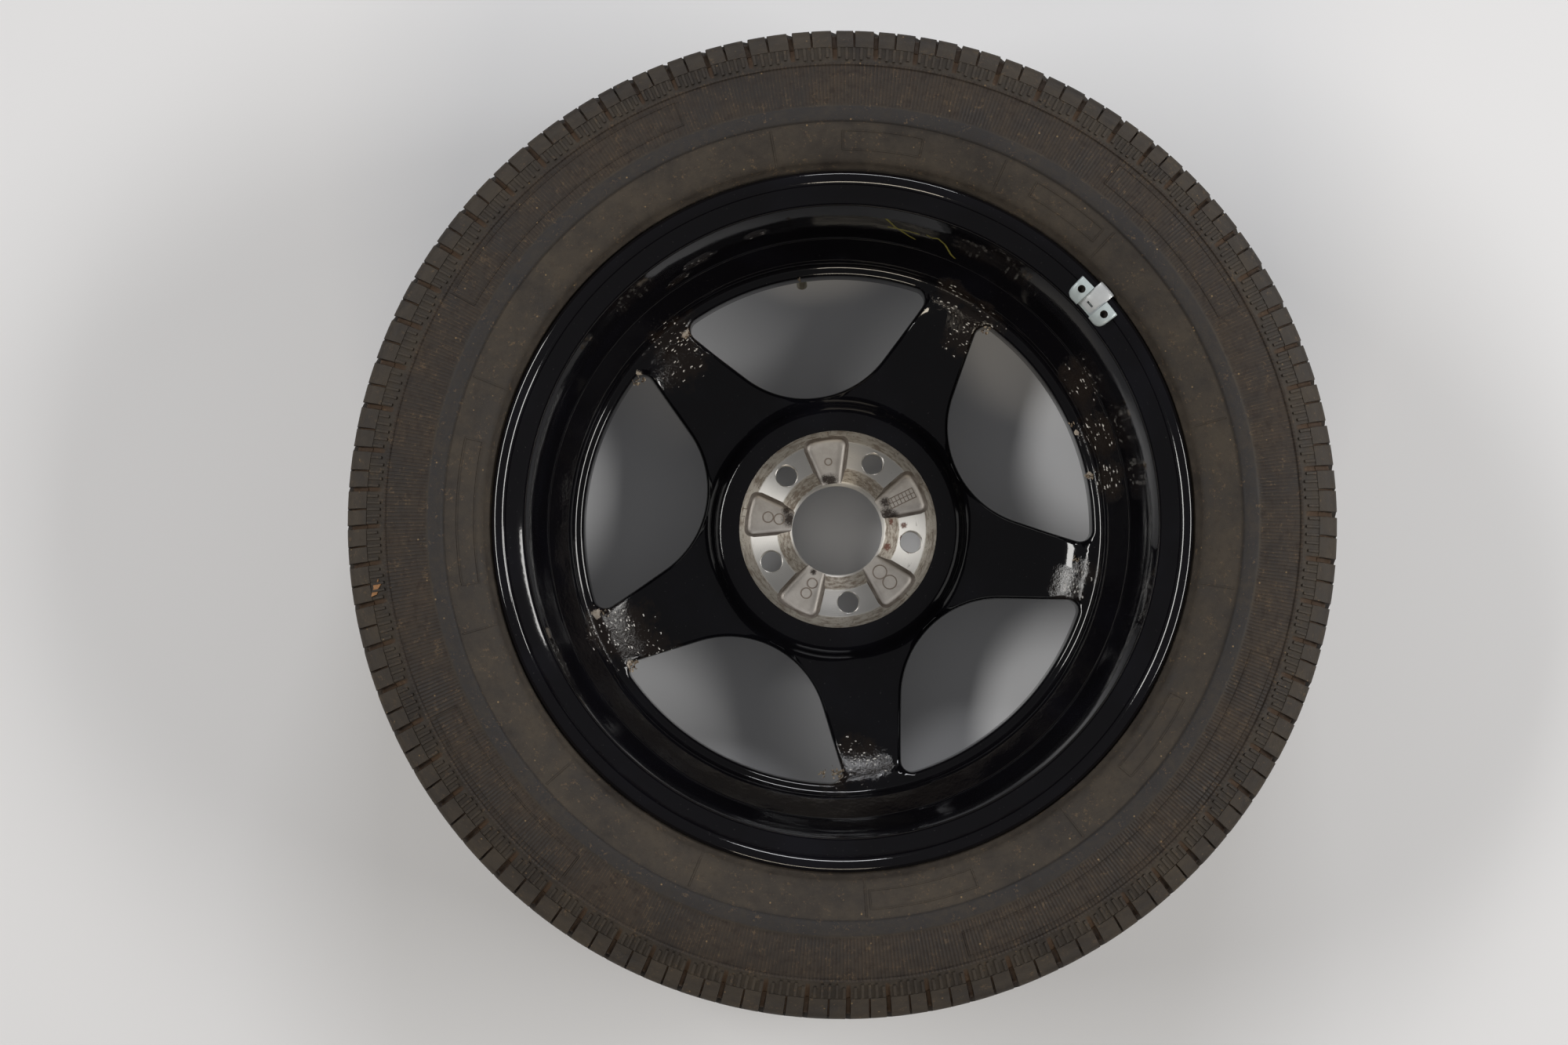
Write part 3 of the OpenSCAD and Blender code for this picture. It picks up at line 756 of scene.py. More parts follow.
# Angle of the balance weight in degrees
WEIGHT_TURN = 41


def on_lip(along, over):
    """Point along the lip's inner cone from its top and over it, both in mm, as (radius, height)."""
    top = Vector(LIP_TOP)
    down = (Vector(BARREL_LINE[-1]) - top).normalized()
    return top + down * along * MM + Vector((down.y, -down.x)) * over * MM


def by_crest(inward, up):
    """Point inward of the lip's edge and up from its top, both in mm, as (radius, height)."""
    return Vector((LIP_R - inward * MM, IN_Z + up * MM))


def dark_cutter(rows):
    """A closed cutter whose walls take the second material."""
    bm = bmesh.new()
    closed(bm, rows, 1)
    return finish_mesh(bm, "dark_cutter", [])


def make_weight(materials):
    """Two round-cornered lobes over the lip's crest, each with a dimple, and the clip's seat between them."""
    bm = bmesh.new()
    rows = []
    for place in (-18, -17.85, -17.4, -16.6, -15.5, -14, -12, -9, -6.62, -6.52, -3,
                  0, 3, 6.52, 6.62, 9, 12, 14, 15.5, 16.6, 17.4, 17.85, 18):
        past = max(0, abs(place) - 12)
        end = 10.6 - (6 - math.sqrt(36 - past**2))
        fall = max(0, abs(place) - 17.2) * 1.2
        t = 7 - fall
        if abs(place) > 6.6:
            section = [by_crest(5.6, 0.15), by_crest(8.4, -1.2), on_lip(0.3, 0.15), on_lip(end, 0.15),
                       on_lip(end, t - 2.4), on_lip(end - 1, t - 0.8), on_lip(end - 2.6, t), on_lip(1.2, t),
                       by_crest(11, 2.9 - fall), by_crest(7.4, 2.4 - fall), by_crest(5.8, 1.5 - fall)]
        else:
            section = [on_lip(0.3, 1.2), on_lip(0.3, 0.6), on_lip(0.3, 0.15), on_lip(end, 0.15),
                       on_lip(end, 2), on_lip(end - 0.4, 3), on_lip(end - 1.2, 3.4), on_lip(1.2, 3.4),
                       on_lip(0.8, 3.3), on_lip(0.4, 2.8), on_lip(0.3, 2)]
        turn = WEIGHT_TURN + math.degrees(place * MM / LIP_R)
        rows.append([polar(r, turn, z) for r, z in section])
    closed(bm, rows)
    weight = finish_mesh(bm, "coated_balance_weight", materials, sharp=40)
    cutters = []
    for side in (-1, 1):
        turn = WEIGHT_TURN + side * math.degrees(12 * MM / LIP_R)
        centre = polar(LIP_R - 12.9 * MM, turn, 0)
        # each dimple's walls take the second material, which is painted shade with dirt
        dimple = ((2.7, 5), (2.7, 2.2), (2.4, 1.4), (2.3, -0.2), (1.7, -0.6))
        cutters.append(dark_cutter([circle(centre, reach * MM, IN_Z + up * MM) for reach, up in dimple]))
    cut(weight, cutters)
    weight.data.set_sharp_from_angle(angle=math.radians(40))
    return weight


def make_clip(materials):
    """The spring clip: from its short tongue on the weight, over the lip's crest and round its edge."""
    inner = [on_lip(7.6, 3.5), on_lip(4, 3.5), on_lip(0.8, 3.5), by_crest(9.5, 0.1), by_crest(4.5, 0.35),
             by_crest(1.4, 0.35), by_crest(0, -0.3), by_crest(-0.35, -1.4), by_crest(-0.35, -3)]
    outer = [on_lip(7.8, 4.3), on_lip(4, 4.6), on_lip(0.8, 4.6), by_crest(9.9, 1.3), by_crest(4.5, 1.35),
             by_crest(1.1, 1.2), by_crest(-0.7, 0.3), by_crest(-1.3, -1.1), by_crest(-1.35, -3)]
    bm = bmesh.new()
    rows = []
    for across in (-6.25, -6.1, -5.6, -3, 0, 3, 5.6, 6.1, 6.25):
        crown = 0.45 * (1 - (across / 6.25) ** 2)
        edge = 0.3 if abs(across) > 6.2 else (0.08 if abs(across) > 6 else 0)
        section = [p.copy() for p in inner]
        for low, high in reversed(list(zip(inner, outer))):
            section.append(high + Vector((0, crown * MM)) + (low - high) * edge)
        rows.append([polar(r, WEIGHT_TURN + math.degrees(math.asin(across * MM / r)), z) for r, z in section])
    closed(bm, rows)
    clip = finish_mesh(bm, "weight_spring_clip", materials, sharp=50, merge=0.005 * MM)
    # a slot through the clip, whose walls take the second material, which is painted shade with dirt
    rows = []
    for up in (-9, 4):
        corners = ((-15.7, -2.5), (-14.5, -2.5), (-14.5, 2.5), (-15.7, 2.5))
        rows.append([(LIP_R + x * MM, y * MM, IN_Z + up * MM) for x, y in corners])
    cut(clip, [dark_cutter(spin(rows, WEIGHT_TURN))])
    clip.data.set_sharp_from_angle(angle=math.radians(50))
    return clip


def start_material(name):
    """A new node material; gives it, its tree, its shader and its object coordinates."""
    material = bpy.data.materials.new(name)
    material.use_nodes = True
    tree = material.node_tree
    return material, tree, tree.nodes["Principled BSDF"], add(tree, "TexCoord").outputs["Object"]


def chosen(name):
    """One of the colours that the panel offers, as RGBA."""
    return tuple(getattr(bpy.context.scene.spare_wheel_colours, name)) + (1.0,)


def radius_and_angle(tree, place):
    """Distance from the spin axis and angle around it, as two nodes."""
    xyz = add(tree, "SeparateXYZ", [place])
    flat = add(tree, "CombineXYZ", [xyz.outputs[0], xyz.outputs[1]])
    radius = add(tree, "VectorMath", [flat], operation="LENGTH")
    return radius, add(tree, "Math", [xyz.outputs[1], xyz.outputs[0]], operation="ARCTAN2")


def patches(tree, place, spots):
    """1 at the middle of each (radius, angle, height, reach) spot in mm and degrees, and 0 past its reach."""
    mask = None
    for radius, angle, z, reach in spots:
        away = add(tree, "VectorMath", [place, polar(radius * MM, angle, z * MM)], operation="DISTANCE")
        near = add(tree, "MapRange", [away, reach * MM, 0.0, 0.0, 1.0])
        mask = near if mask is None else add(tree, "Math", [mask, near], operation="MAXIMUM")
    return mask


def ring_mask(tree, radius, low, high, soft):
    """1 between two radii and 0 outside them, with edges of a given softness."""
    inside = add(tree, "MapRange", [radius, low - soft, low + soft, 0.0, 1.0])
    outside = add(tree, "MapRange", [radius, high - soft, high + soft, 1.0, 0.0])
    return add(tree, "Math", [inside, outside], operation="MULTIPLY")


# Places where the enamel is lifting: radius, angle, height and reach in mm and degrees
BLISTERS = (
    (182, 56, 72, 26), (166, 57, 66, 18), (192, 64, 78, 20), (180, 131, 71, 32), (166, 134, 65, 24),
    (172, 206, 68, 34), (162, 214, 64, 24), (188, 203, 77, 22), (170, 276, 67, 26), (180, 270, 72, 18),
    (172, 346, 68, 20), (182, 350, 73, 14), (204, 31, 98, 24), (200, 20, 90, 24), (200, 10, 88, 20),
    (211, 118, 140, 16), (208, 123, 120, 14), (210, 106, 150, 12),
)
# Places where the metal is bare and crusted
BARE_EDGES = (
    (181, 53, 73, 6), (182, 128, 73, 7), (184, 142, 74, 6), (186, 199.5, 74, 8), (181, 213, 72, 9),
    (178, 217, 70, 6), (178, 270, 71, 8), (174, 267, 69, 5), (184, 98.8, 75, 4), (187, 12, 76, 5),
    (187, 22, 76, 4),
)


def black_wheel_enamel():
    """Gloss black enamel over a casting.

    Near black with sharp reflections that wander, because the casting under it isn't flat; a fine orange
    peel breaks their edges. Where it lifts, a ragged brown-black crust shows bits of white metal and painted
    glints, longer around the wheel than across, and round the windows' corners it has gone down to pale
    corrosion.
    """
    material, tree, shader, place = start_material("black_wheel_enamel")
    radius, angle = radius_and_angle(tree, place)
    height = add(tree, "SeparateXYZ", [place]).outputs[2]
    # grain in mm, detail and roughness of each noise
    crumb, broad, dust, haze, waves, peel = [
        add(tree, "TexNoise", {0: place, "Scale": 1 / (grain * MM), "Detail": detail, "Roughness": rough})
        for grain, detail, rough in (
            (1.5, 3, 0.65), (13, 6, 0.75), (1.6, 1, 0.5), (55, 3, 0.5), (38, 1.5, 0.5), (3, 1, 0.5))
    ]
    shift = add(tree, "Math", [broad, 0.5], operation="SUBTRACT")
    near = patches(tree, place, BLISTERS)
    ragged = add(tree, "Math", [shift, 2.2, near], operation="MULTIPLY_ADD")
    some = add(tree, "MapRange", [near, 0.0, 0.15, 0.0, 1.0])
    ragged = add(tree, "Math", [ragged, some], operation="MULTIPLY")
    crust = add(tree, "MapRange", [ragged, 0.18, 0.55, 0.0, 1.0])
    # bits of bare metal and painted glints, about 1 mm across and up to three times as long around the wheel
    along = add(tree, "Math", [angle, 0.19 * 0.45], operation="MULTIPLY")
    around = add(tree, "CombineXYZ", [radius, along, height])
    bend = (2.2 * MM, 2.2 * MM, 2.2 * MM)
    bent = add(tree, "VectorMath", [crumb.outputs["Color"], bend, around], operation="MULTIPLY_ADD")
    cells = add(tree, "TexVoronoi", {0: bent, "Scale": 1 / (1.8 * MM), "Randomness": 1.0})
    pick = add(tree, "SeparateXYZ", [cells.outputs["Color"]])
    bit = add(tree, "MapRange", [cells, 0.24, 0.32, 1.0, 0.0])
    share = add(tree, "MapRange", [ragged, 0.28, 0.85, 0.92, 0.56])
    rare = add(tree, "Math", [pick, share], operation="GREATER_THAN")
    chip_and_painted_glint = add(tree, "Math", [bit, rare], operation="MULTIPLY")
    strong = add(tree, "MapRange", [ragged, 0.28, 0.34, 0.0, 1.0])
    chip_and_painted_glint = add(tree, "Math", [chip_and_painted_glint, strong], operation="MULTIPLY")
    worn = add(tree, "Math", [shift, 1.8, patches(tree, place, BARE_EDGES)], operation="MULTIPLY_ADD")
    bare = add(tree, "MapRange", [worn, 0.52, 0.60, 0.0, 1.0])
    dusty = add(tree, "MapRange", [dust, 0.73, 0.79, 0.0, 0.16])
    haze = add(tree, "MapRange", [haze, 0.5, 0.72, 0.0, 0.5])
    pale = add(tree, "Mix", {0: crumb, 6: linear("#6b5a4a"), 7: linear("#d0c6b8")}, data_type="RGBA")
    colour = chosen("enamel")
    # the white specks are bits of bare metal and painted glints
    for mask, over in ((haze, linear("#14141a")), (dusty, linear("#5c5a58")), (crust, linear("#1d1714")),
                       (chip_and_painted_glint, linear("#dcd8d2")), (bare, pale)):
        colour = add(tree, "Mix", {0: mask, 6: colour, 7: over}, data_type="RGBA")
    matt = add(tree, "Math", [chip_and_painted_glint, bare], operation="MAXIMUM")
    dull = add(tree, "Math", [crust, 0.08], operation="MULTIPLY")
    matt = add(tree, "Math", [matt, dull], operation="MAXIMUM")
    rough = add(tree, "MapRange", [matt, 0.0, 1.0, 0.07, 0.6])
    lumps = add(tree, "Math", [crumb, crust], operation="MULTIPLY")
    bump = None
    for relief, depth, part in ((waves, 1.3, 0.3), (peel, 0.04, 0.5), (lumps, 0.3, 0.7)):
        bump = add(tree, "Bump", {"Height": relief, "Distance": depth * MM, "Strength": part, "Normal": bump})
    feed(tree, shader, {"Base Color": colour, "Roughness": rough, "Normal": bump})
    return material


# Rust that ran from the bolt hole on the right and the two pockets beside it
HUB_RUST = ((48, 3, 71, 5), (47, 352, 71, 4), (54, 344, 71, 6), (38, 340, 69, 6), (43, 26, 66, 7),
            (40, 8, 68, 5))


def turned_aluminium():
    """Aluminium faced on a lathe.

    Pale and bright, with fine rings about the spin axis that draw its highlights out into a bow on each
    side; the lead-in cone and the outer band are dulled by grey-brown stains that run with the rings.
    """
    material, tree, shader, place = start_material("turned_aluminium")
    radius, angle = radius_and_angle(tree, place)
    # the lathe's rings, drawn 0.9 mm apart so that they show
    rings = add(tree, "Math", [radius, 2 * math.pi / (0.9 * MM)], operation="MULTIPLY")
    rings = add(tree, "Math", [rings], operation="SINE")
    along = add(tree, "Math", [angle, 0.055 * 0.22], operation="MULTIPLY")
    around = add(tree, "CombineXYZ", [radius, along])
    streak, cloud, fine = [
        add(tree, "TexNoise", {0: where, "Scale": 1 / (grain * MM), "Detail": detail, "Roughness": rough})
        for where, grain, detail, rough in (
            (around, 1.6, 4, 0.65), (place, 14, 5, 0.65), (place, 1.3, 4, 0.7))
    ]
    cone = ring_mask(tree, radius, BORE_R + 1.2 * MM, LEAD_R, 0.6 * MM)
    band = ring_mask(tree, radius, STEP_R + 2.6 * MM, PAD_R + 2 * MM, 0.6 * MM)
    soiled = add(tree, "Math", [cone, band], operation="MAXIMUM")
    mixed = add(tree, "Mix", {0: 0.35, 2: streak, 3: cloud})
    limit = add(tree, "MapRange", [soiled, 0.0, 1.0, 0.60, 0.47])
    limit = add(tree, "Math", [cone, -0.04, limit], operation="MULTIPLY_ADD")
    stain = add(tree, "Math", [mixed, limit], operation="SUBTRACT")
    stain = add(tree, "MapRange", [stain, 0.0, 0.14, 0.0, 0.8])
    pits = add(tree, "MapRange", [fine, 0.60, 0.66, 0.0, 0.8])
    pits = add(tree, "Math", [pits, soiled], operation="MULTIPLY")
    rust = add(tree, "Math", [patches(tree, place, HUB_RUST), fine], operation="MULTIPLY")
    rust = add(tree, "MapRange", [rust, 0.22, 0.34, 0.0, 0.9])
    dull = add(tree, "Mix", {0: cloud, 6: linear("#8a8378"), 7: linear("#b5afa5")}, data_type="RGBA")
    colour = chosen("machined")
    for mask, over in ((soiled, dull), (stain, linear("#5b4c3e")), (pits, linear("#4a4138")),
                       (rust, linear("#5a2f1f"))):
        colour = add(tree, "Mix", {0: mask, 6: colour, 7: over}, data_type="RGBA")
    grime = add(tree, "Math", [stain, rust], operation="MAXIMUM")
    some = add(tree, "Math", [soiled, 0.5], operation="MULTIPLY")
    grime = add(tree, "Math", [grime, some], operation="MAXIMUM")
    metal = add(tree, "MapRange", [grime, 0.0, 1.0, 0.95, 0.3])
    rough = add(tree, "MapRange", [grime, 0.0, 1.0, 0.44, 0.55])
    bump = None
    for relief, depth in ((rings, 0.03), (fine, 0.05)):
        bump = add(tree, "Bump", {"Height": relief, "Distance": depth * MM, "Strength": 0.4, "Normal": bump})
    feed(tree, shader, {
        "Base Color": colour, "Metallic": metal, "Roughness": rough, "Anisotropic": 0.85,
        "Anisotropic Rotation": 0.25, "Tangent": add(tree, "Tangent", direction_type="RADIAL", axis="Z"),
        "Normal": bump})
    return material


# Black grime at the bore's end of the pockets: radius, angle, height and reach in mm and degrees
POCKET_GRIME = ((36, 98, 66, 9), (38, 104, 65, 6), (38, 18, 66, 9), (42, 14, 65, 7), (40, 30, 65, 7),
                (36, 168, 66, 10), (40, 160, 65, 6), (36, 240, 65, 4))


def cast_aluminium():
    """Aluminium as it left the mould: pale warm grey, satin, and browner up the walls with painted shade."""
    material, tree, shader, place = start_material("cast_aluminium")
    height = add(tree, "SeparateXYZ", [place]).outputs[2]
    grain = add(tree, "TexNoise", {0: place, "Scale": 1 / (0.9 * MM), "Detail": 4.0, "Roughness": 0.7})
    cloud = add(tree, "TexNoise", {0: place, "Scale": 1 / (9 * MM), "Detail": 5.0, "Roughness": 0.6})
    low = PAD_Z - POCKET_DEPTH
    # painted shade: the pocket walls turn a darker brown above a ramp off the floor
    foot = add(tree, "MapRange", [height, low + 0.1 * MM, low + 1.6 * MM, 0.0, 1.0])
    shade = add(tree, "MapRange", [cloud, 0.3, 0.6, 0.45, 0.9])
    wall = add(tree, "Math", [foot, shade], operation="MULTIPLY")
    grime = add(tree, "Math", [patches(tree, place, POCKET_GRIME), grain], operation="MULTIPLY")
    grime = add(tree, "MapRange", [grime, 0.14, 0.36, 0.0, 0.95])
    colour = linear("#8f8881")
    for mask, over in ((cloud, "#c2bdb7"), (wall, "#4e4339"), (grime, "#241a14")):
        colour = add(tree, "Mix", {0: mask, 6: colour, 7: linear(over)}, data_type="RGBA")
    bump = add(tree, "Bump", {"Height": grain, "Distance": 0.15 * MM, "Strength": 0.6})
    feed(tree, shader, {"Base Color": colour, "Metallic": 0.5, "Roughness": 0.5, "Normal": bump})
    return material


def dusty_tyre_rubber():
    """Moulded tyre rubber, filled black and dry.

    Road dust browns it in clouds, dots it with tan grains and lies thickest in slots and between the fine
    radial teeth of the middle band, which dark blotches break up; the smooth rib is rubbed darker.
    """
    material, tree, shader, place = start_material("dusty_tyre_rubber")
    radius, angle = radius_and_angle(tree, place)
    along = add(tree, "Math", [angle, 0.29 * 0.6], operation="MULTIPLY")
    around = add(tree, "CombineXYZ", [radius, along])
    cloud, smear, fine, blotch = [
        add(tree, "TexNoise", {0: where, "Scale": 1 / (grain * MM), "Detail": detail, "Roughness": rough})
        for where, grain, detail, rough in (
            (place, 34, 7, 0.68), (place, 7, 5, 0.7), (place, 1.8, 4, 0.7), (around, 4.5, 4, 0.7))
    ]
    lot = add(tree, "MapRange", [cloud, 0.36, 0.64, 0.0, 1.0])
    band = ring_mask(tree, radius, RIB_HIGH + 0.8 * MM, BAND_HIGH + 1 * MM, 0.8 * MM)
    brown = add(tree, "Mix", {0: lot, 6: linear("#27221f"), 7: linear("#3a322b")}, data_type="RGBA")
    # radial teeth of the middle band, 760 around the tyre
    teeth = add(tree, "Math", [angle, 760.0], operation="MULTIPLY")
    teeth = add(tree, "Math", [teeth], operation="SINE")
    teeth = add(tree, "Math", [teeth, band], operation="MULTIPLY")
    tips = add(tree, "Math", [teeth, smear], operation="MULTIPLY")
    tips = add(tree, "MapRange", [tips, 0.36, 0.62, 0.0, 0.24])
    # dark blotches, in loose rows around the band
    blotch = add(tree, "MapRange", [blotch, 0.50, 0.66, 0.0, 0.7])
    share = add(tree, "MapRange", [band, 0.0, 1.0, 0.35, 1.0])
    blotch = add(tree, "Math", [blotch, share], operation="MULTIPLY")
    rib = ring_mask(tree, radius, RIB_LOW, RIB_HIGH - 0.4 * MM, 0.6 * MM)
    rubbed = add(tree, "MapRange", [smear, 0.35, 0.65, 0.35, 0.9])
    rubbed = add(tree, "Math", [rib, rubbed], operation="MULTIPLY")
    recess = add(tree, "Attribute", attribute_name="recess").outputs["Fac"]
    deep = add(tree, "MapRange", [recess, 0.2, 0.9, 0.0, 0.8])
    grit = add(tree, "Math", [fine, smear], operation="MULTIPLY")
    grit = add(tree, "MapRange", [grit, 0.31, 0.42, 0.0, 0.55])
    # loose tan grains, one to every 6 mm at most
    grains = add(tree, "TexVoronoi", {0: place, "Scale": 1 / (6 * MM), "Randomness": 1.0})
    pick = add(tree, "SeparateXYZ", [grains.outputs["Color"]])
    dot = add(tree, "MapRange", [grains, 0.06, 0.13, 0.7, 0.0])
    rare = add(tree, "MapRange", [pick, 0.86, 0.88, 0.0, 1.0])
    dot = add(tree, "Math", [dot, rare], operation="MULTIPLY")
    colour = chosen("rubber")
    for mask, over in ((lot, linear("#423b33")), (band, brown), (tips, chosen("road_dust")),
                       (blotch, linear("#241c18")), (rubbed, linear("#282729")), (deep, linear("#43301f")),
                       (grit, chosen("road_dust")), (dot, linear("#8d7656"))):
        colour = add(tree, "Mix", {0: mask, 6: colour, 7: over}, data_type="RGBA")
    rough = add(tree, "MapRange", [lot, 0.0, 1.0, 0.6, 0.85])
    bump = None
    for relief, depth, part in ((teeth, 0.3, 0.6), (smear, 0.8, 0.4), (fine, 0.25, 0.5)):
        bump = add(tree, "Bump", {"Height": relief, "Distance": depth * MM, "Strength": part, "Normal": bump})
    feed(tree, shader, {"Base Color": colour, "Roughness": rough, "Specular IOR Level": 0.3, "Normal": bump})
    return material


# Finishes that are no more than a cloud of two colours and a fine grain: both colours (a word is one of the
# panel's), the grain and its depth in mm, the roughness and how metallic it is
PLAIN_FINISHES = {
    # the same casting on its raised marks, darkened by dirt and painted shade along them: dull and brown
    "soiled_cast_aluminium": ("#6a5f55", "#857a70", 0.7, 0.1, 0.6, 0.3),
    # zinc under a thin grey coat: pale, satin, a little cloudy
    "coated_zinc": ("weight", "#bcc5c6", 0.6, 0.05, 0.42, 0.25),
    # spring steel under the same coat, smoother, so that its bends catch the light
    "coated_spring_steel": ("#bcbfc1", "#cdcfd0", 0.5, 0.03, 0.34, 0.35),
    # painted shade and dirt in small hollows: near black, brownish and dead matt
    "packed_dirt": ("#15110f", "#2a231e", 0.5, 0.1, 0.9, 0.0),
    # dense black rubber with a dry bloom: dark and almost matt
    "valve_rubber": ("#1b1b1c", "#28272a", 0.5, 0.05, 0.62, 0.0),
    # brass under worn nickel: a warm grey metal with soft highlights
    "nickelled_brass": ("#cfc8b8", "#b8ad94", 0.5, 0.02, 0.28, 1.0),
    # brass fresh from the lathe: yellow and bright
    "bare_brass": ("#c7a861", "#b08f4a", 0.4, 0.02, 0.33, 1.0),
    # soft red sealing rubber, even and dull
    "red_seal_rubber": ("#7a2a22", "#6a221c", 0.4, 0.03, 0.55, 0.0),
    # drawn steel: grey, with a hard shine
    "bright_steel_wire": ("#b9b9ba", "#a6a6a8", 0.3, 0.01, 0.3, 1.0),
    # wax crayon dragged over gloss: an olive yellow film that thins out in streaks
    "wax_crayon": ("crayon", "#6d6a2c", 0.8, 0.08, 0.55, 0.0),
    # a dead leaf's skin: tan, veined darker and quite matt
    "dry_leaf": ("#a5794f", "#7d5636", 0.9, 0.3, 0.8, 0.0),
}


def plain_finish(name):
    """One of the plain finishes, as a material of that name."""
    first, second, grain, depth, rough, metal = PLAIN_FINISHES[name]
    material, tree, shader, place = start_material(name)
    first = linear(first) if first.startswith("#") else chosen(first)
    size = grain * MM
    cloud = add(tree, "TexNoise", {0: place, "Scale": 1 / (size * 5), "Detail": 4.0})
    colour = add(tree, "Mix", {0: cloud, 6: first, 7: linear(second)}, data_type="RGBA")
    fine = add(tree, "TexNoise", {0: place, "Scale": 1 / size, "Detail": 3.0})
    bump = add(tree, "Bump", {"Height": fine, "Distance": depth * MM, "Strength": 0.6})
    feed(tree, shader, {"Base Color": colour, "Metallic": metal, "Roughness": rough, "Normal": bump})
    return material


def corroded_flakes():
    """Aluminium corrosion and torn enamel: chalky lumps from cream to brown, with no shine."""
    material, tree, shader, place = start_material("corroded_flakes")
    lumps = add(tree, "TexNoise", {0: place, "Scale": 1 / (2.4 * MM), "Detail": 5.0, "Roughness": 0.7})
    share = add(tree, "MapRange", [lumps, 0.38, 0.62, 0.0, 1.0])
    colour = add(tree, "Mix", {0: share, 6: linear("#5a4636"), 7: linear("#c2b39d")}, data_type="RGBA")
    bump = add(tree, "Bump", {"Height": lumps, "Distance": 0.8 * MM, "Strength": 0.8})
    feed(tree, shader, {"Base Color": colour, "Roughness": 0.8, "Normal": bump})
    return material


class SpareWheelSizes(bpy.types.PropertyGroup):
    """Sizes of the wheel's own forms."""

    edge_radius: bpy.props.FloatProperty(
        name="Cast edge radius", description="Radius of the rounded edges round the windows",
        default=3.6 * MM, min=0.5 * MM, max=4 * MM, subtype="DISTANCE", unit="LENGTH")


class SpareWheelColours(bpy.types.PropertyGroup):
    """Colours of the main finishes."""

    enamel: bpy.props.FloatVectorProperty(
        name="Enamel", description="Colour of the wheel's gloss enamel",
        default=linear("#0c0b0e")[:3], min=0, max=1, subtype="COLOR")
    machined: bpy.props.FloatVectorProperty(
        name="Machined face", description="Colour of the bare machined aluminium",
        default=linear("#e6e3de")[:3], min=0, max=1, subtype="COLOR")
    rubber: bpy.props.FloatVectorProperty(
        name="Rubber", description="Colour of the tyre's rubber under its dust",
        default=linear("#2d2824")[:3], min=0, max=1, subtype="COLOR")
    road_dust: bpy.props.FloatVectorProperty(
        name="Road dust", description="Colour of the dust on the tyre",
        default=linear("#6b5842")[:3], min=0, max=1, subtype="COLOR")
    weight: bpy.props.FloatVectorProperty(
        name="Balance weight", description="Colour of the balance weight's coat",
        default=linear("#a9b4b6")[:3], min=0, max=1, subtype="COLOR")
    crayon: bpy.props.FloatVectorProperty(
        name="Crayon", description="Colour of the crayon strokes on the barrel",
        default=linear("#96903c")[:3], min=0, max=1, subtype="COLOR")


class SpareWheelStage(bpy.types.PropertyGroup):
    """Camera, floor and light."""

    camera_place: bpy.props.FloatVectorProperty(
        name="Camera place", description="Where the camera stands over the wheel",
        default=(-39.4 * MM, -82.8 * MM, 1854.4 * MM), subtype="TRANSLATION", unit="LENGTH")
    camera_tip: bpy.props.FloatProperty(
        name="Camera tip", description="How far the camera is tipped from looking straight down",
        default=math.radians(2.81), subtype="ANGLE", unit="ROTATION")
    lens: bpy.props.FloatProperty(
        name="Lens", description="Focal length on a 36 mm sensor", default=56.2, min=10, max=300)
    lamp_power: bpy.props.FloatProperty(
        name="Lamp power", description="Power of each soft lamp",
        default=92.0, min=0, subtype="POWER", unit="POWER")
    world_light: bpy.props.FloatProperty(
        name="World light", description="Strength of the light all around", default=0.12, min=0, max=2)
    floor_colour: bpy.props.FloatVectorProperty(
        name="Floor colour", description="Colour of the plain floor",
        default=linear("#e1e1e3")[:3], min=0, max=1, subtype="COLOR")
    floor_glow: bpy.props.FloatProperty(
        name="Floor glow", description="Share of the floor's shown colour that no shadow reaches",
        default=0.04, min=0, max=1, subtype="FACTOR")


class SPAREWHEEL_OT_wheel(bpy.types.Operator):
    """Build the cast wheel with its rounded window edges, machined hub and worn enamel"""

    bl_idname = "sparewheel.wheel"
    bl_label = "Cast wheel"

    def execute(self, context):
        skins = [black_wheel_enamel(), turned_aluminium(), cast_aluminium()]
        wheel = make_wheel(context.scene.spare_wheel_sizes.edge_radius, skins)
        # the raised marks are darkened by dirt and painted shade
        marks = make_pocket_rings(plain_finish("soiled_cast_aluminium"))
        flakes = make_flakes(corroded_flakes())
        strokes = make_crayon_strokes(plain_finish("wax_crayon"))
        for piece in (wheel, marks, flakes, strokes):
            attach(piece, "wheel_assembly")
        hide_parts("wheel")
        return {"FINISHED"}


class SPAREWHEEL_OT_tyre(bpy.types.Operator):
    """Build the tyre with its blocks, lugs, bands and mould lines"""

    bl_idname = "sparewheel.tyre"
    bl_label = "Tyre"

    def execute(self, context):
        rubber = dusty_tyre_rubber()
        tyre = make_tyre(rubber)
        lugs = make_shoulder_lugs(rubber)
        marks = make_sidewall_marks(rubber)
        leaf = make_leaf(plain_finish("dry_leaf"))
        for piece in (tyre, lugs, marks, leaf):
            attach(piece, "wheel_assembly")
        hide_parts("tyre")
        return {"FINISHED"}


class SPAREWHEEL_OT_fittings(bpy.types.Operator):
    """Finish the balance weight, its clip and the valve"""

    bl_idname = "sparewheel.fittings"
    bl_label = "Weight and valve"

    def execute(self, context):
        # painted shade and dirt for the walls of the weight's dimples and the clip's slot
        shade_and_dirt = plain_finish("packed_dirt")
        weight = make_weight([plain_finish("coated_zinc"), shade_and_dirt])
        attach(weight, "wheel_assembly")
        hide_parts("balance_weight")
        clip = make_clip([plain_finish("coated_spring_steel"), shade_and_dirt])
        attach(clip, "wheel_assembly")
        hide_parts("weight_clip")
        for finish, nodes in (
            ("valve_rubber", ["valve_body"]), ("nickelled_brass", ["valve_stem"]),
            ("bare_brass", ["core_housing"]), ("red_seal_rubber", ["core_gasket"]),
            ("bright_steel_wire", ["core_spring", "core_pin"]),
        ):
            material = plain_finish(finish)
            for node in nodes:
                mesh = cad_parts[node].data
                mesh.materials.clear()
                mesh.materials.append(material)
        return {"FINISHED"}


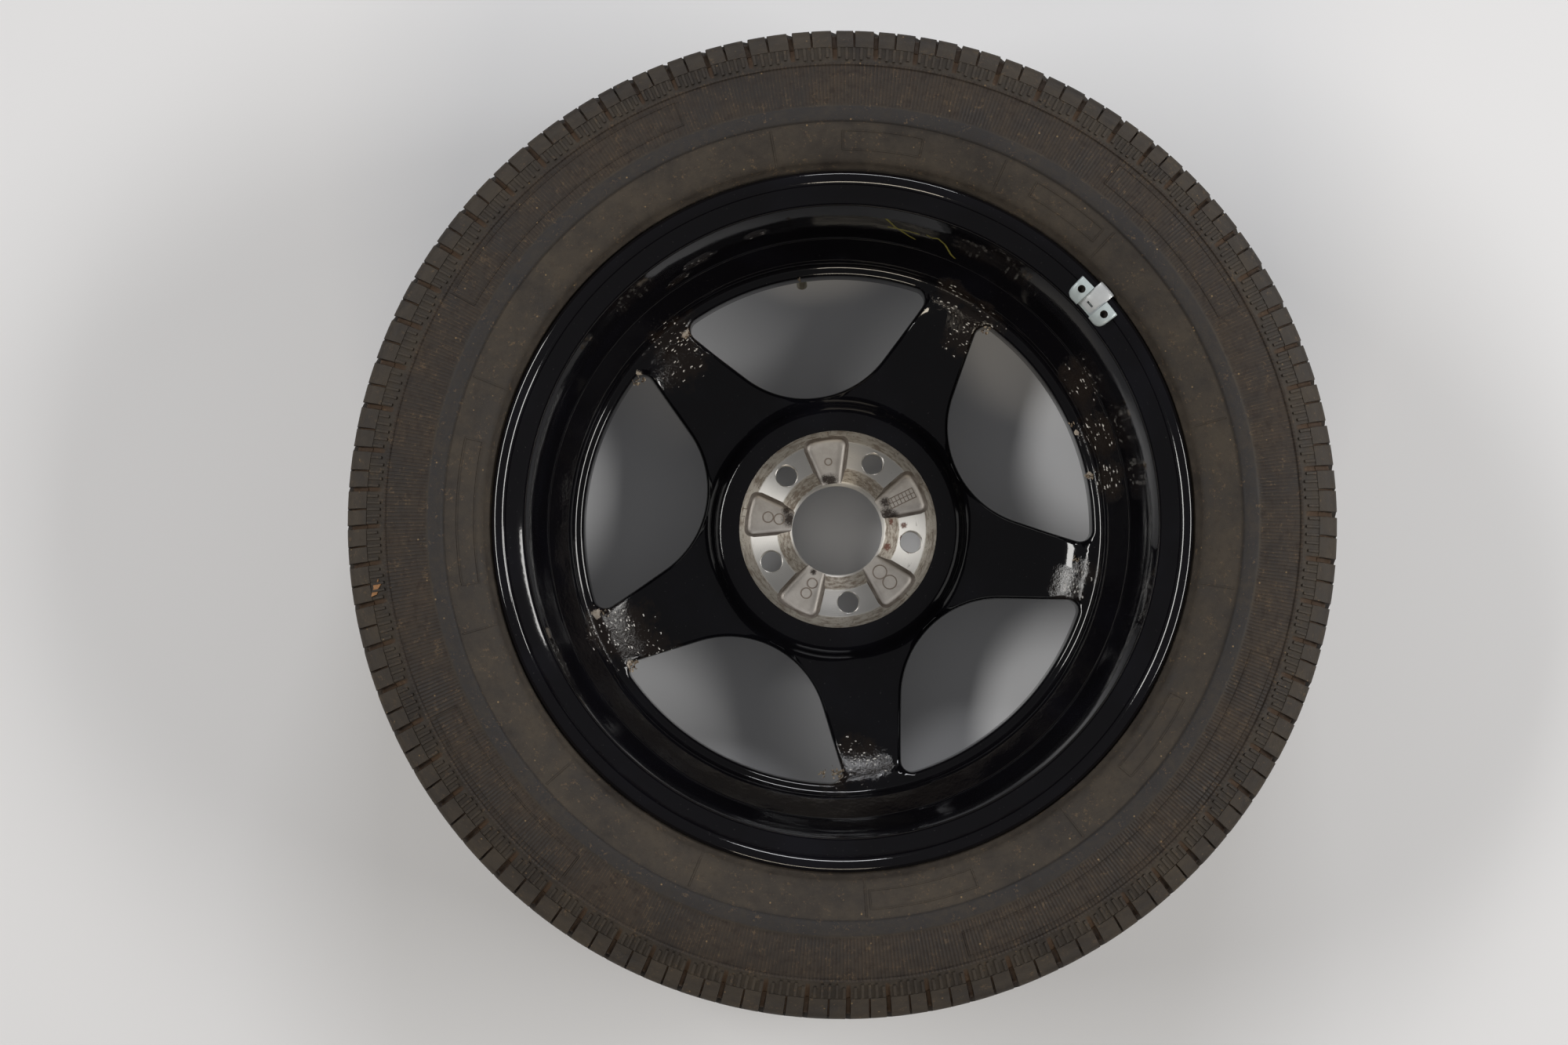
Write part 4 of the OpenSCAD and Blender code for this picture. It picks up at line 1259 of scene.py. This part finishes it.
# Soft lamps: name, place in metres, width and height, share of the power and colour
LAMPS = (
    ("lamp_left", (-3.2, 0.75, 3.15), (2.7, 0.85), 1.1, "#fffefb"),
    ("lamp_right", (3.4, -0.17, 2.75), (2.4, 0.85), 0.95, "#fffefb"),
    ("lamp_side", (4.0, 1.1, 1.85), (1.5, 0.68), 0.4, "#fffefb"),
    ("lamp_low", (-0.35, -3.9, 2.9), (1.7, 0.68), 0.5, "#fff3df"),
    ("lamp_high", (0.5, 4.0, 2.9), (1.7, 0.68), 0.6, "#fbfcff"),
)


def matt_painted_board(settings):
    """Matt board, a pale grey that keeps the wheel's soft shadow.

    To the camera, and in gloss, part of it shows at its own colour whatever the light.
    """
    material, tree, shader, place = start_material("matt_painted_board")
    cloud = add(tree, "TexNoise", {0: place, "Scale": 1 / 1.5, "Detail": 1.0})
    share = add(tree, "MapRange", [cloud, 0.3, 0.7, 0.0, 1.0])
    paint = tuple(settings.floor_colour) + (1.0,)
    colour = add(tree, "Mix", {0: share, 6: paint, 7: linear("#d9d9db")}, data_type="RGBA")
    feed(tree, shader, {"Base Color": colour, "Roughness": 0.9, "Specular IOR Level": 0.1})
    path = add(tree, "LightPath").outputs
    seen = add(tree, "Math", [path["Is Camera Ray"], path["Is Glossy Ray"]], operation="MAXIMUM")
    seen = add(tree, "Math", [seen, path["Is Transmission Ray"]], operation="MAXIMUM")
    part = add(tree, "Math", [seen, settings.floor_glow], operation="MULTIPLY")
    glow = add(tree, "Emission", {"Color": colour, "Strength": 1.0})
    both = add(tree, "MixShader", [part, shader, glow])
    feed(tree, tree.nodes["Material Output"], {"Surface": both})
    return material


class SPAREWHEEL_OT_stage(bpy.types.Operator):
    """Set the camera over the wheel, the plain floor and the soft lamps"""

    bl_idname = "sparewheel.stage"
    bl_label = "Stage"

    def execute(self, context):
        scene = context.scene
        settings = scene.spare_wheel_stage
        camera_data = bpy.data.cameras.new("camera")
        camera_data.lens = settings.lens
        camera_data.sensor_width = 36
        camera_data.clip_end = 50
        camera = bpy.data.objects.new("camera", camera_data)
        camera.location = settings.camera_place
        camera.rotation_euler = Euler((settings.camera_tip, 0, 0))
        scene.collection.objects.link(camera)
        scene.camera = camera
        bm = bmesh.new()
        # the floor reaches 12 m each way
        corners = ((-12, -12, 0), (12, -12, 0), (12, 12, 0), (-12, 12, 0))
        bm.faces.new([bm.verts.new(corner) for corner in corners])
        floor = finish_mesh(bm, "floor", [matt_painted_board(settings)])
        for name, place, size, share, colour in LAMPS:
            data = bpy.data.lights.new(name, "AREA")
            data.shape = "RECTANGLE"
            data.size = size[0]
            data.size_y = size[1]
            data.energy = settings.lamp_power * share
            data.color = linear(colour)[:3]
            lamp = bpy.data.objects.new(name, data)
            lamp.location = place
            lamp.rotation_euler = (Vector((0, 0, 0.15)) - Vector(place)).to_track_quat("-Z", "Y").to_euler()
            scene.collection.objects.link(lamp)
        world = bpy.data.worlds.new("studio")
        world.use_nodes = True
        background = world.node_tree.nodes["Background"]
        background.inputs["Color"].default_value = linear("#f6f6f8")
        background.inputs["Strength"].default_value = settings.world_light
        scene.world = world
        scene.view_settings.view_transform = "Standard"
        return {"FINISHED"}


class SPAREWHEEL_PT_panel(bpy.types.Panel):
    """Sizes, colours and steps of the spare wheel"""

    bl_idname = "SPAREWHEEL_PT_panel"
    bl_label = "Spare wheel"
    bl_space_type = "VIEW_3D"
    bl_region_type = "UI"
    bl_category = "Spare wheel"

    def draw(self, context):
        scene = context.scene
        for group in (scene.spare_wheel_sizes, scene.spare_wheel_colours, scene.spare_wheel_stage):
            for name in group.bl_rna.properties.keys():
                if name not in ("rna_type", "name"):
                    self.layout.prop(group, name)
        for step in STEPS:
            self.layout.operator(step.bl_idname)


STEPS = (SPAREWHEEL_OT_stage, SPAREWHEEL_OT_wheel, SPAREWHEEL_OT_tyre, SPAREWHEEL_OT_fittings)
CLASSES = (SpareWheelSizes, SpareWheelColours, SpareWheelStage) + STEPS + (SPAREWHEEL_PT_panel,)


def register():
    """Adds the classes and their settings."""
    for cls in CLASSES:
        bpy.utils.register_class(cls)
    bpy.types.Scene.spare_wheel_sizes = bpy.props.PointerProperty(type=SpareWheelSizes)
    bpy.types.Scene.spare_wheel_colours = bpy.props.PointerProperty(type=SpareWheelColours)
    bpy.types.Scene.spare_wheel_stage = bpy.props.PointerProperty(type=SpareWheelStage)


def unregister():
    """Takes the classes and their settings away."""
    del bpy.types.Scene.spare_wheel_stage
    del bpy.types.Scene.spare_wheel_colours
    del bpy.types.Scene.spare_wheel_sizes
    for cls in reversed(CLASSES):
        bpy.utils.unregister_class(cls)


def main():
    """Builds everything in order."""
    register()
    bpy.ops.sparewheel.stage()
    bpy.ops.sparewheel.wheel()
    bpy.ops.sparewheel.tyre()
    bpy.ops.sparewheel.fittings()


if __name__ == "__main__":
    main()
